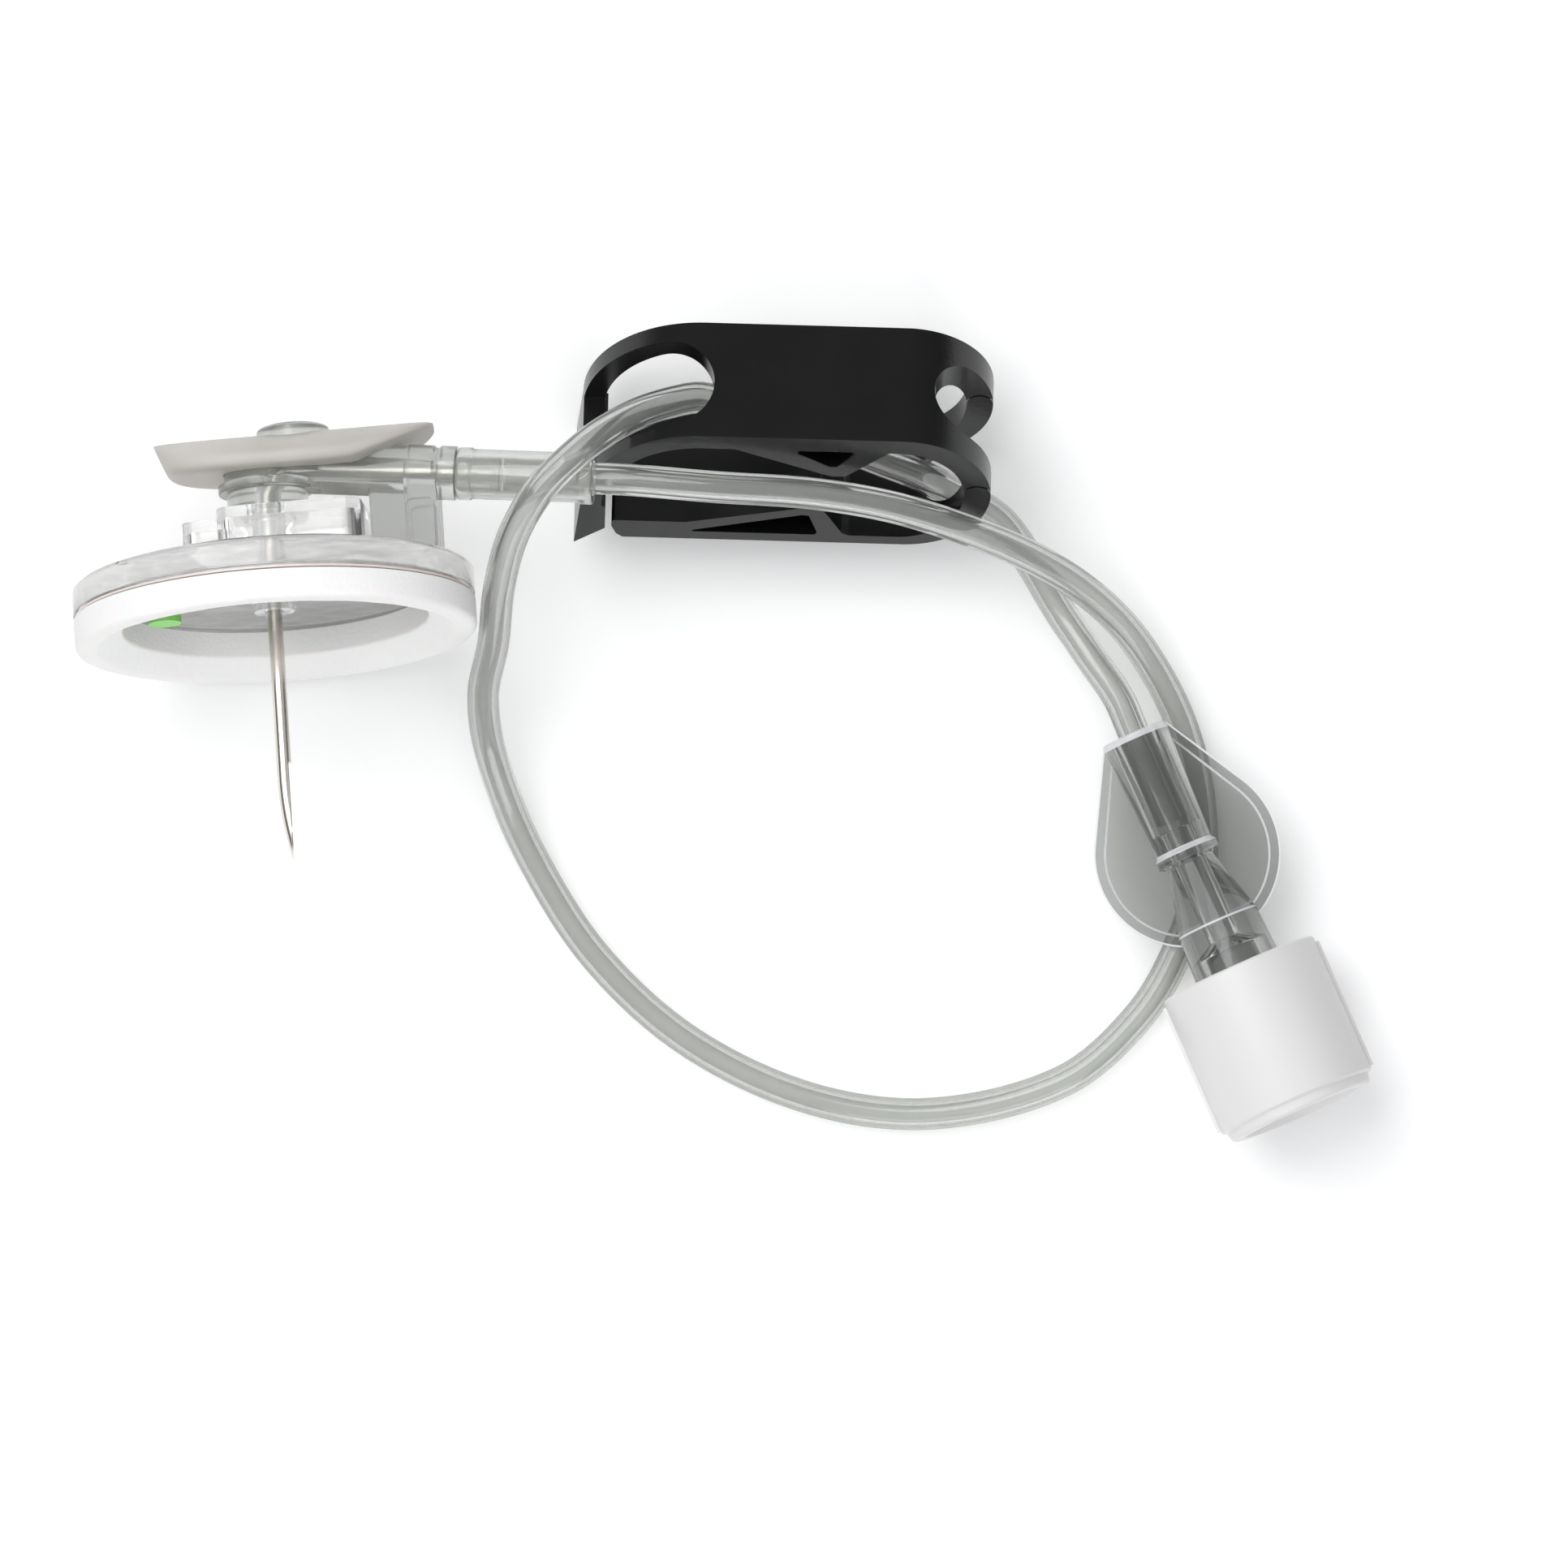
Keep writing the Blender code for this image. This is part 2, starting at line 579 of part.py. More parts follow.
def make_needle_hub(head, material):
    """Post, neck, saucer and shoulder on the needle's axis, with the barrel, head and arm joined on."""
    post_end = PLATE_TOP + POST_CLEARANCE
    profile = [(0, post_end), (POST_RADIUS, post_end), (POST_RADIUS, NECK_BASE),
               (NECK_RADIUS, NECK_BASE), (NECK_RADIUS, SAUCER_BASE),
               (SAUCER_RADIUS, SAUCER_BASE), (SAUCER_RADIUS, SHOULDER_BASE),
               (SHOULDER_RADIUS, SHOULDER_BASE), (SHOULDER_RADIUS, SHOULDER_TOP), (0, SHOULDER_TOP)]
    hub = turned("needle_hub", profile, head, material)
    barrel_axis = frame_empty("barrel_axis", (0, 0, BARREL_LEVEL),
                              (0, math.pi / 2 + NEEDLE_DROOP, 0), head)
    collar_end = BARREL_LENGTH + COLLAR_LENGTH
    nipple_end = collar_end + NIPPLE_LENGTH
    barrel = turned("barrel_guide", [
        (0, 0.6 * MM), (BARREL_RADIUS, 0.6 * MM), (BARREL_RADIUS, BARREL_LENGTH),
        (COLLAR_RADIUS, BARREL_LENGTH + 0.05 * MM), (COLLAR_RADIUS, collar_end),
        (NIPPLE_RADIUS, collar_end), (NIPPLE_RADIUS, nipple_end), (0, nipple_end)],
        barrel_axis, sides=32)
    dome = arc((0, HEAD_TOP - HEAD_DOME), HEAD_RADIUS, HEAD_DOME, 0, 90, 5)
    knob = turned("head_guide", [(0, SHOULDER_BASE + 0.3 * MM), (HEAD_RADIUS, SHOULDER_BASE + 0.3 * MM)]
                  + dome[:-1] + [(0, HEAD_TOP)], head, sides=32)
    knob.location.x = HEAD_OFFSET
    foot = PLATE_TOP + SEAT_GAP
    arm_top = leg_point(ARM_LEFT).z
    arm = prism("arm_guide", rounded_rectangle(ARM_LEFT, ARM_RIGHT, foot, arm_top, 0.3 * MM, 3),
                -ARM_HALF_WIDTH, ARM_HALF_WIDTH, head, along='Y')
    inset = 0.15 * MM
    pad = prism("pad_guide", rounded_rectangle(ARM_LEFT + inset, ARM_RIGHT - inset, foot + inset,
                                               foot + PAD_HEIGHT, 0.5 * MM, 4),
                -PAD_HALF_WIDTH, PAD_HALF_WIDTH, head, along='Y')
    fin = prism("fin_guide", rounded_rectangle(FIN_LEFT, FIN_RIGHT, PLATE_TOP + FIN_CLEARANCE,
                                               arm_top, 0.3 * MM, 3),
                -FIN_HALF_WIDTH, FIN_HALF_WIDTH, head, along='Y')
    combine(hub, 'UNION', barrel, knob, arm, pad, fin)
    bore = needle_path(post_end - MM, nipple_end + MM)
    combine(hub, 'DIFFERENCE', swept("bore_guide", bore, NEEDLE_RADIUS + FIT_GAP, head))
    return hub


def make_wing_grip(head, material):
    """A lens-ended saddle, arched over the barrel, with its right end slanted underneath."""
    bm = bmesh.new()
    around = 24
    stations = 22
    rings = []
    for station in range(stations + 1):
        share = -math.cos(math.pi * station / stations)
        share = max(-0.995, min(0.995, share))
        x = GRIP_OFFSET + share * GRIP_LENGTH / 2
        half_width = GRIP_WIDTH / 2 * (1 - abs(share) ** 2.6) ** (1 / 2.6)
        slant = max(share, 0) ** 5
        thickness = GRIP_THICKNESS * (1 - 0.72 * slant - 0.25 * abs(share) ** 12)
        ring = []
        for step in range(around):
            angle = 2 * math.pi * step / around
            across = math.copysign(abs(math.cos(angle)) ** 0.7, math.cos(angle))
            up = math.copysign(abs(math.sin(angle)) ** 0.8, math.sin(angle))
            y = half_width * across
            arch = GRIP_CROWN * (2 * y / GRIP_WIDTH) ** 2
            ring.append(bm.verts.new((x, y, GRIP_TOP - arch - thickness / 2 * (1 - up))))
        rings.append(ring)
    for first, second in zip(rings, rings[1:]):
        for step in range(around):
            after = (step + 1) % around
            bm.faces.new((first[step], first[after], second[after], second[step]))
    bm.faces.new(rings[0])
    bm.faces.new(rings[-1])
    grip = mesh_object("wing_grip", bm, head, material)
    knob_radius = HEAD_RADIUS + FIT_GAP
    shoulder_radius = SHOULDER_RADIUS + FIT_GAP
    tunnel_start = leg_point(0.5 * MM)
    tunnel_end = leg_point(BARREL_LENGTH + 3 * MM)
    combine(grip, 'DIFFERENCE',
            prism("knob_hole", arc((HEAD_OFFSET, 0), knob_radius, knob_radius, 0, 348.75, 31),
                  SHOULDER_BASE, HEAD_TOP + MM, head),
            prism("shoulder_pocket", arc((0, 0), shoulder_radius, shoulder_radius, 0, 352.5, 47),
                  SHOULDER_BASE, SHOULDER_TOP + SEAT_GAP, head),
            swept("barrel_tunnel", [tunnel_start, tunnel_end], BARREL_RADIUS + FIT_GAP, head, sides=32))
    return grip


def make_tube_sleeve(head, material):
    start = BARREL_LENGTH + COLLAR_LENGTH + SEAT_GAP
    end = start + SLEEVE_LENGTH
    inner = max(TUBE_RADIUS, NIPPLE_RADIUS) + FIT_GAP
    lip = 0.25 * MM
    axis = frame_empty("sleeve_axis", (0, 0, BARREL_LEVEL), (0, math.pi / 2 + NEEDLE_DROOP, 0), head)
    profile = [(inner, start), (SLEEVE_RADIUS - lip / 2, start), (SLEEVE_RADIUS, start + lip),
               (SLEEVE_RADIUS, end - lip), (SLEEVE_RADIUS - lip / 2, end), (inner, end)]
    return turned("tube_sleeve", profile, axis, material, 32)


def smooth_path(route, spacing):
    """Evenly spaced points on one smooth curve through the route's points."""
    knots = [Vector(point) * MM for point in route]
    lengths = [0.0]
    for before, after in zip(knots, knots[1:]):
        lengths.append(lengths[-1] + (after - before).length)
    last = len(knots) - 1
    slopes = []
    for index in range(last + 1):
        low, high = max(index - 1, 0), min(index + 1, last)
        slopes.append((knots[high] - knots[low]) / (lengths[high] - lengths[low]))
    dense = []
    for index in range(last):
        span = lengths[index + 1] - lengths[index]
        for step in range(20):
            t = step / 20
            dense.append(knots[index] * (2 * t ** 3 - 3 * t ** 2 + 1)
                         + slopes[index] * span * (t ** 3 - 2 * t ** 2 + t)
                         + knots[index + 1] * (3 * t ** 2 - 2 * t ** 3)
                         + slopes[index + 1] * span * (t ** 3 - t ** 2))
    dense.append(knots[-1])
    total = sum((after - before).length for before, after in zip(dense, dense[1:]))
    count = round(total / spacing)
    points = [dense[0]]
    walked = 0.0
    for before, after in zip(dense, dense[1:]):
        step = (after - before).length
        while walked + step >= total * len(points) / count and len(points) < count:
            share = (total * len(points) / count - walked) / step
            points.append(before.lerp(after, share))
        walked += step
    points.append(dense[-1])
    return points


def make_tubing(layout, material):
    curve = bpy.data.curves.new("tubing", 'CURVE')
    curve.dimensions = '3D'
    curve.bevel_depth = TUBE_RADIUS
    curve.bevel_resolution = 2
    curve.use_fill_caps = True
    points = smooth_path(TUBE_ROUTE, TUBE_STEP)
    spline = curve.splines.new('POLY')
    spline.points.add(len(points) - 1)
    for place, point in zip(spline.points, points):
        place.co = (*point, 1)
    curve.materials.append(material)
    tubing = bpy.data.objects.new("tubing", curve)
    bpy.context.collection.objects.link(tubing)
    tubing.parent = layout
    return tubing


def hinge_line():
    """The living hinge's line in the clamp's side plane."""
    outer = CLAMP_HEIGHT / 2
    return HINGE_BEND_X + outer - HINGE_STRIP / 2, -outer


def slot_outline(end, near, far, reach, side):
    """A slot with a round end, open towards +X or -X."""
    radius = (far - near) / 2
    middle = (far + near) / 2
    turn = 90 if side > 0 else -90
    centre = (end + side * radius, middle)
    points = arc(centre, radius, radius, turn, turn + 180, 12)
    low, high = points[-1][1], points[0][1]
    return [(reach, high)] + points + [(reach, low)]


def make_clamp_frame(clamp, material):
    """Top strip, latch post with its tooth, upper jaw and the upper half of the hinge bend."""
    strip = CLAMP_STRIP
    outer = CLAMP_HEIGHT / 2
    latch = (LATCH_BEND_X, -LATCH_BEND_RADIUS)
    post_x = LATCH_BEND_X - LATCH_BEND_RADIUS
    hinge_x, hinge_z = hinge_line()
    inner_reach = hinge_x - HINGE_STRIP / 2
    inner_x = HINGE_BEND_X - 0.4 * MM
    outline = [(post_x - LATCH_SPLAY, -LATCH_DEPTH)]
    outline += arc(latch, LATCH_BEND_RADIUS, LATCH_BEND_RADIUS, 180, 90, 12)
    outline += arc((HINGE_BEND_X, hinge_z), outer, outer, 90, 0, 12)
    outline += arc((inner_x, hinge_z), inner_reach - inner_x, outer - strip, 0, 90, 12)
    outline += [(UPPER_JAW_RIGHT, -strip), (JAW_X + JAW_FLAT / 2, -UPPER_JAW_DEPTH),
                (JAW_X - JAW_FLAT / 2, -UPPER_JAW_DEPTH), (UPPER_JAW_LEFT, -strip)]
    outline += arc(latch, LATCH_BEND_RADIUS - strip, LATCH_BEND_RADIUS - strip, 90, 180, 12)
    tooth_x = post_x + strip + LATCH_TOOTH
    outline += [(post_x + strip, -LATCH_TOOTH_TOP), (tooth_x, -LATCH_TOOTH_TOP - 0.15 * MM),
                (tooth_x, -LATCH_TOOTH_FOOT)]
    half = CLAMP_WIDTH / 2
    frame = prism("clamp_frame", outline, -half, half, clamp, material, 'Y')
    pocket = [(UPPER_JAW_LEFT + 4.0 * MM, -strip), (JAW_X + 1.3 * MM, -strip),
              (JAW_X - 0.1 * MM, 1.15 * MM - UPPER_JAW_DEPTH), (JAW_X - 0.6 * MM, 1.15 * MM - UPPER_JAW_DEPTH)]
    knuckle = HINGE_STRIP / 2 + HINGE_GAP
    combine(frame, 'DIFFERENCE',
            prism("upper_pocket", pocket, -half - MM, half + MM, clamp, along='Y'),
            prism("latch_slot", slot_outline(LATCH_SLOT_END, LATCH_SLOT_NEAR, LATCH_SLOT_FAR,
                                             post_x - 2 * MM, -1), -LATCH_SLOT_DEPTH, MM, clamp),
            prism("hinge_slot", slot_outline(HINGE_SLOT_END, -HINGE_SLOT_WIDTH / 2,
                                             HINGE_SLOT_WIDTH / 2, hinge_x + 2 * MM, 1),
                  hinge_z - MM, MM, clamp),
            prism("knuckle_seat", arc((hinge_x, hinge_z), knuckle, knuckle, 0, 345, 23),
                  -half - MM, half + MM, clamp, along='Y'))
    return frame


def hang_from(piece, pivot):
    """Parent a piece to a pivot empty and keep its shape in the frame that the pivot stands in."""
    piece.parent = pivot
    piece.matrix_parent_inverse = Matrix.Translation(-pivot.location)


def make_clamp_lever(clamp, material):
    """Lower half of the hinge bend, bottom strip and lower jaw, turning on the hinge line."""
    outer = CLAMP_HEIGHT / 2
    hinge_x, hinge_z = hinge_line()
    bottom = -CLAMP_HEIGHT
    floor = bottom + LEVER_STRIP
    inner_x = HINGE_BEND_X - 0.4 * MM
    inner_reach = hinge_x - HINGE_STRIP / 2
    apex = -LOWER_JAW_DEPTH
    half_flat = JAW_FLAT / 2
    outline = arc((hinge_x, hinge_z), HINGE_STRIP / 2, HINGE_STRIP / 2, 180, 0, 8)
    outline += arc((HINGE_BEND_X, hinge_z), outer, outer, 0, -90, 12)[1:]
    outline += [(LEVER_LEFT + 0.8 * MM, bottom), (LEVER_LEFT + 0.35 * MM, bottom + 0.4 * MM),
                (LEVER_LEFT, bottom + 1.3 * MM), (LEVER_LEFT, -LEVER_LIP_DEPTH),
                (LEVER_LEFT + 5.3 * MM, -LEVER_LIP_DEPTH), (LOWER_JAW_X - half_flat, apex),
                (LOWER_JAW_X + half_flat, apex), (LOWER_JAW_X + half_flat + 0.55 * MM, apex - 0.9 * MM),
                (LOWER_JAW_X + 2.1 * MM, floor + 0.25 * MM), (LOWER_JAW_X + 2.6 * MM, floor)]
    outline += arc((inner_x, hinge_z), inner_reach - inner_x, floor - hinge_z, 90, 0, 12)[:-1]
    half = CLAMP_WIDTH / 2
    lever = prism("clamp_lever", outline, -half, half, clamp, material, 'Y')
    pocket = [(LEVER_LEFT + 5.7 * MM, floor + 0.15 * MM), (LEVER_LEFT + 5.9 * MM, floor),
              (LOWER_JAW_X + 0.15 * MM, floor), (LOWER_JAW_X + 0.3 * MM, floor + 0.3 * MM),
              (LOWER_JAW_X - 0.3 * MM, apex - 0.95 * MM), (LOWER_JAW_X - 0.8 * MM, apex - 0.9 * MM)]
    pocket_guide = prism("lower_pocket", pocket, -half - MM, half + MM, clamp, along='Y')
    slot_guide = prism("lever_slot", slot_outline(LEVER_SLOT_END, -HINGE_SLOT_WIDTH / 2,
                                                  HINGE_SLOT_WIDTH / 2, hinge_x + 2 * MM, 1),
                       bottom - MM, hinge_z + 2 * MM, clamp)
    combine(lever, 'DIFFERENCE', pocket_guide, slot_guide)
    pivot = frame_empty("clamp_close", (hinge_x, 0, hinge_z), (0, 0, 0), clamp)
    for piece in (lever, pocket_guide, slot_guide):
        hang_from(piece, pivot)
    return lever


def wing_outline():
    """A teardrop: one round lobe with straight flanks down to the socket's mouth."""
    root = Vector((WING_ROOT, 0))
    centre = Vector((0, WING_CENTRE))
    reach = (root - centre).length
    flank = math.acos(WING_RADIUS / reach)
    start = math.atan2(root.y - centre.y, root.x - centre.x) + flank
    sweep = 2 * (math.pi / 2 - start)
    steps = 36
    lobe = []
    for step in range(steps + 1):
        angle = start + sweep * step / steps
        lobe.append((centre.x + WING_RADIUS * math.cos(angle), centre.y + WING_RADIUS * math.sin(angle)))
    return [tuple(root)] + lobe + [(-root.x, root.y)]


def make_wings(luer):
    """A flat plate in the XZ plane, recessed inside a raised rim on both faces."""
    bm = bmesh.new()
    low = -WING_DROP - WING_THICKNESS / 2
    corners = [bm.verts.new((x, low, z)) for x, z in wing_outline()]
    face = bm.faces.new(corners)
    grown = bmesh.ops.extrude_face_region(bm, geom=[face])["geom"]
    moved = [item for item in grown if isinstance(item, bmesh.types.BMVert)]
    bmesh.ops.translate(bm, verts=moved, vec=(0, WING_THICKNESS, 0))
    bmesh.ops.recalc_face_normals(bm, faces=bm.faces)
    faces = [side for side in bm.faces if abs(side.normal.y) > 0.9]
    for side in faces:
        bmesh.ops.inset_region(bm, faces=[side], thickness=WING_RIM, depth=0)
        bmesh.ops.inset_region(bm, faces=[side], thickness=0.15 * MM, depth=-WING_RECESS)
    return mesh_object("wing_guide", bm, luer)


def make_luer_hub(luer, material):
    """Tube socket, waist, cone, body and lugs in one turned shape, with the wings joined on."""
    flange_end = SOCKET_LENGTH + HUB_FLANGE_LENGTH
    bore_start = HUB_LENGTH - LUER_DEPTH
    tube_seat = TUBE_RADIUS + FIT_GAP
    profile = [
        (tube_seat, 0), (SOCKET_MOUTH_RADIUS - 0.15 * MM, 0), (SOCKET_MOUTH_RADIUS, 0.15 * MM),
        (SOCKET_END_RADIUS, SOCKET_LENGTH), (HUB_FLANGE_RADIUS, SOCKET_LENGTH + 0.1 * MM),
        (HUB_FLANGE_RADIUS, flange_end), (HUB_WAIST_RADIUS, flange_end + 0.2 * MM),
        (HUB_BODY_RADIUS, HUB_CONE_END), (HUB_END_RADIUS, CAP_START),
        (HUB_END_RADIUS, HUB_LENGTH - LUG_LENGTH), (LUG_RADIUS, HUB_LENGTH - LUG_LENGTH + 0.1 * MM),
        (LUG_RADIUS, HUB_LENGTH), (LUER_MOUTH_RADIUS, HUB_LENGTH),
        (LUER_ROOT_RADIUS, bore_start), (FLOW_RADIUS, bore_start - 0.8 * MM),
        (FLOW_RADIUS, SOCKET_DEPTH), (tube_seat, SOCKET_DEPTH)]
    hub = turned("luer_hub", profile, luer, material)
    wings = make_wings(luer)
    keep_out = turned("socket_guide", [(0, -MM), (tube_seat, -MM), (tube_seat, SOCKET_DEPTH),
                                       (FLOW_RADIUS, SOCKET_DEPTH), (FLOW_RADIUS, bore_start),
                                       (0, bore_start)], luer)
    combine(hub, 'UNION', wings)
    combine(hub, 'DIFFERENCE', keep_out)
    return hub


def make_luer_cap(luer, material):
    """Shell and inner luer cone in one turned shape, with two flat ribs along the outside."""
    end = CAP_START + CAP_LENGTH
    side_end = end - CAP_STEP_LENGTH
    inside = CAP_RADIUS - CAP_WALL
    roof = end - CAP_END_THICKNESS
    cone_tip = CAP_START + 0.6 * MM
    taper = (LUER_MOUTH_RADIUS - LUER_ROOT_RADIUS) / LUER_DEPTH

    def cone(level):
        return LUER_MOUTH_RADIUS - (HUB_LENGTH - level) * taper - FIT_GAP

    profile = [
        (0, cone_tip), (cone(cone_tip) - 0.3 * MM, cone_tip), (cone(cone_tip), cone_tip + 0.3 * MM),
        (cone(roof), roof), (inside, roof), (inside, CAP_START + 0.3 * MM),
        (inside + 0.3 * MM, CAP_START), (CAP_RADIUS - 0.2 * MM, CAP_START),
        (CAP_RADIUS, CAP_START + 0.2 * MM), (CAP_RADIUS, side_end), (CAP_STEP_RADIUS, side_end + 0.2 * MM),
        (CAP_STEP_RADIUS - 0.2 * MM, end), (CAP_RECESS_RADIUS, end),
        (CAP_RECESS_RADIUS - 0.4 * MM, end - CAP_RECESS_DEPTH), (CAP_CORE_RADIUS, end - CAP_RECESS_DEPTH),
        (CAP_CORE_RADIUS, end - CAP_CORE_DEPTH), (0, end - CAP_CORE_DEPTH)]
    cap = turned("luer_cap", profile, luer, material)
    half = CAP_RIB_WIDTH / 2
    ribs = []
    for side, name in ((1, "right_rib"), (-1, "left_rib")):
        near, far = side * (CAP_RADIUS - 0.3 * MM), side * (CAP_RADIUS + CAP_RIB_STAND)
        ribs.append(prism(name, [(near, -half), (far, -half), (far, half), (near, half)],
                          CAP_START + 0.5 * MM, side_end - 0.2 * MM, luer))
    combine(cap, 'UNION', *ribs)
    return cap


def main():
    clear_scene()
    clear = plastic("clear plastic", (0.86, 0.88, 0.87), 0.08, 0.9)
    soft_clear = plastic("clear tube", (0.80, 0.82, 0.81), 0.12, 0.9)
    frosted = plastic("frosted grip", (0.78, 0.77, 0.74), 0.45, 0.4)
    foam = plastic("white foam", (0.93, 0.93, 0.91), 0.9)
    glue = plastic("adhesive", (0.84, 0.78, 0.74), 0.5)
    green = plastic("green dot", (0.25, 0.62, 0.22), 0.4)
    black = plastic("black plastic", (0.012, 0.013, 0.015), 0.3)
    white = plastic("white plastic", (0.90, 0.90, 0.89), 0.35)
    needle_steel = plastic("needle steel", (0.66, 0.64, 0.60), 0.22, metallic=1.0)
    spring_steel = plastic("spring steel", (0.60, 0.60, 0.60), 0.3, metallic=1.0)

    layout = frame_empty("layout", LAYOUT_ORIGIN, (0, 0, 0), None)
    head = frame_empty("head", HEAD_PLACE + Vector((0, 0, HEAD_HEIGHT)),
                       (-math.pi / 2 - HEAD_TILT, 0, HEAD_TURN), layout)
    unit = frame_empty("unit", (0, 0, 0), (0, 0, HEAD_ROLL), head)
    base = frame_empty("base_slide", (0, 0, 0), (0, 0, 0), unit)
    clamp = frame_empty("clamp", CLAMP_PLACE + Vector((0, 0, CLAMP_LIFT)),
                        (-CLAMP_TILT, 0, CLAMP_TURN), layout)
    luer = frame_empty("luer", LUER_PLACE + Vector((0, 0, LUER_HEIGHT)),
                       (math.pi / 2 - LUER_RISE, 0, LUER_TURN), layout)

    make_foam_ring(base, foam)
    make_adhesive_ring(base, glue)
    make_base_plate(base, clear)
    make_lock_indicator(base, green)
    make_clip_housing(base, clear)
    make_safety_clip(base, spring_steel)
    make_needle(unit, needle_steel)
    make_needle_hub(unit, clear)
    make_wing_grip(unit, frosted)
    make_tube_sleeve(unit, soft_clear)
    make_tubing(layout, soft_clear)
    make_clamp_frame(clamp, black)
    make_clamp_lever(clamp, black)
    make_luer_hub(luer, clear)
    make_luer_cap(luer, white)


main()
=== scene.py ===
"""Dresses a port needle set on a table: clear, frosted, black and white mouldings, foam and steel."""

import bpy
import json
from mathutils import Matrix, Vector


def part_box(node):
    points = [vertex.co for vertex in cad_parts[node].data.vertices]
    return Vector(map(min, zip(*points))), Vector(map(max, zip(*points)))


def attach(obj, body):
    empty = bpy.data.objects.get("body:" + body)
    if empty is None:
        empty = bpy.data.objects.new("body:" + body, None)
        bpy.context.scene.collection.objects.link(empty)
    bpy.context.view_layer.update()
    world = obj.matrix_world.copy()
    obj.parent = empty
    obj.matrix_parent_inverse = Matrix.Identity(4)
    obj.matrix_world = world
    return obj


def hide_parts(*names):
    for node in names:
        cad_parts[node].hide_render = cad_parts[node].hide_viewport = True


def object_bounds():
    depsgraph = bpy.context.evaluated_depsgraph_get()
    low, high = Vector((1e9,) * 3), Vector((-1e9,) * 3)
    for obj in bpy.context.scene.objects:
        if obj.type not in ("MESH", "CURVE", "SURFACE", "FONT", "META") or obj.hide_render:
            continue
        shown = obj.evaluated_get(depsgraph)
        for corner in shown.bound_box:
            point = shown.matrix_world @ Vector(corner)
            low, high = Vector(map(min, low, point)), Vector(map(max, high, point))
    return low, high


bl_info = {
    "name": "Port Needle Set",
    "version": (1, 0, 0),
    "blender": (4, 5, 0),
    "location": "3D View > Sidebar > Needle Set",
    "description": "Builds the visible pieces, materials and stage of a port needle set",
    "category": "Object",
}

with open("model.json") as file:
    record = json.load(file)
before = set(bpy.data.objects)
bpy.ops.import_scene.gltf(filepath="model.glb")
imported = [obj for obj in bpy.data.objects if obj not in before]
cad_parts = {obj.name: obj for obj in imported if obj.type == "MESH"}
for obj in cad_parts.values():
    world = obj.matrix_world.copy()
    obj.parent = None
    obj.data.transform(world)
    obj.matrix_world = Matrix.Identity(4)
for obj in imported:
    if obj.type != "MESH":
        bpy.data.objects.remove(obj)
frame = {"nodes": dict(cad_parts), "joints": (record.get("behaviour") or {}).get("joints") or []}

import json
import math

import bmesh
import bpy
from bpy.props import FloatProperty, FloatVectorProperty, PointerProperty
from mathutils import Matrix, Vector, noise

MM = 0.001
CAD_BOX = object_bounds()
JOINTS = {joint["name"]: joint for joint in frame["joints"]}

# Bodies that the pieces ride on
NEEDLE_SET = "needle_set"
SAFETY_BASE = "safety_base"
CLAMP_LEVER = "clamp_lever"
LUER_CAP = "luer_cap"

# Fits, as in the solids
SEAT_GAP = 0.1 * MM
FIT_GAP = 0.1 * MM
SLIDE_GAP = 0.15 * MM
UNIT_ROLL = math.radians(-6.5)

# Radius of the seat in the base plate that the pad's inner part fills
SEAT_RADIUS = 12.4 * MM

# Width of the pad's flat face, outside its dished part
FOAM_FACE_WIDTH = 1.5 * MM

# The lock dot's pocket, and the plate's guide for the needle
DOT_INSET = 2.83 * MM
DOT_ANGLE = 172.2
DOT_POCKET_RADIUS = 1.3 * MM
GUIDE_RADIUS = 1.5 * MM
GUIDE_DEPTH = 0.45 * MM
GUIDE_BORE = 0.68 * MM

# Spacing of the line's rings
LINE_STEP = 0.5 * MM

# Levels along the needle, from the foam's face up to the grip
ADHESIVE_MIDDLE = 2.375 * MM
PLATE_BASE = 2.55 * MM
PLATE_FLOOR = 3.15 * MM
PLATE_RIM_TOP = 4.3 * MM
PLATE_TOP = 5.0 * MM
HOUSING_BASE = 5.1 * MM
HOUSING_TOP = 9.2 * MM
NECK_BASE = 9.3 * MM
SAUCER_BASE = 10.8 * MM
SHOULDER_BASE = 11.45 * MM
SHOULDER_TOP = 12.85 * MM
BARREL_LEVEL = 12.75 * MM
GRIP_TOP = 14.85 * MM
HEAD_TOP = 15.65 * MM

# Needle, with the bend into the barrel and the bend of its tip
NEEDLE_REACH = 16.2 * MM
NEEDLE_BEND_RADIUS = 2.2 * MM
NEEDLE_LEG = 16.5 * MM
NEEDLE_DROOP = math.radians(7.0)
TIP_BEND_LENGTH = 6.3 * MM
TIP_BEND_RADIUS = 24.0 * MM

# Hub
SHOULDER_RADIUS = 3.0 * MM
BARREL_LENGTH = 12.4 * MM
BARREL_RADIUS = 1.85 * MM
COLLAR_LENGTH = 1.4 * MM
COLLAR_RADIUS = 1.95 * MM
NIPPLE_LENGTH = 3.2 * MM
NIPPLE_RADIUS = 1.15 * MM
HEAD_OFFSET = 2.1 * MM
HEAD_RADIUS = 2.6 * MM
HEAD_DOME = 0.5 * MM
ARM_LEFT = 10.0 * MM
ARM_RIGHT = 12.3 * MM
PAD_HEIGHT = 3.9 * MM
WEB_LEFT = 7.4 * MM

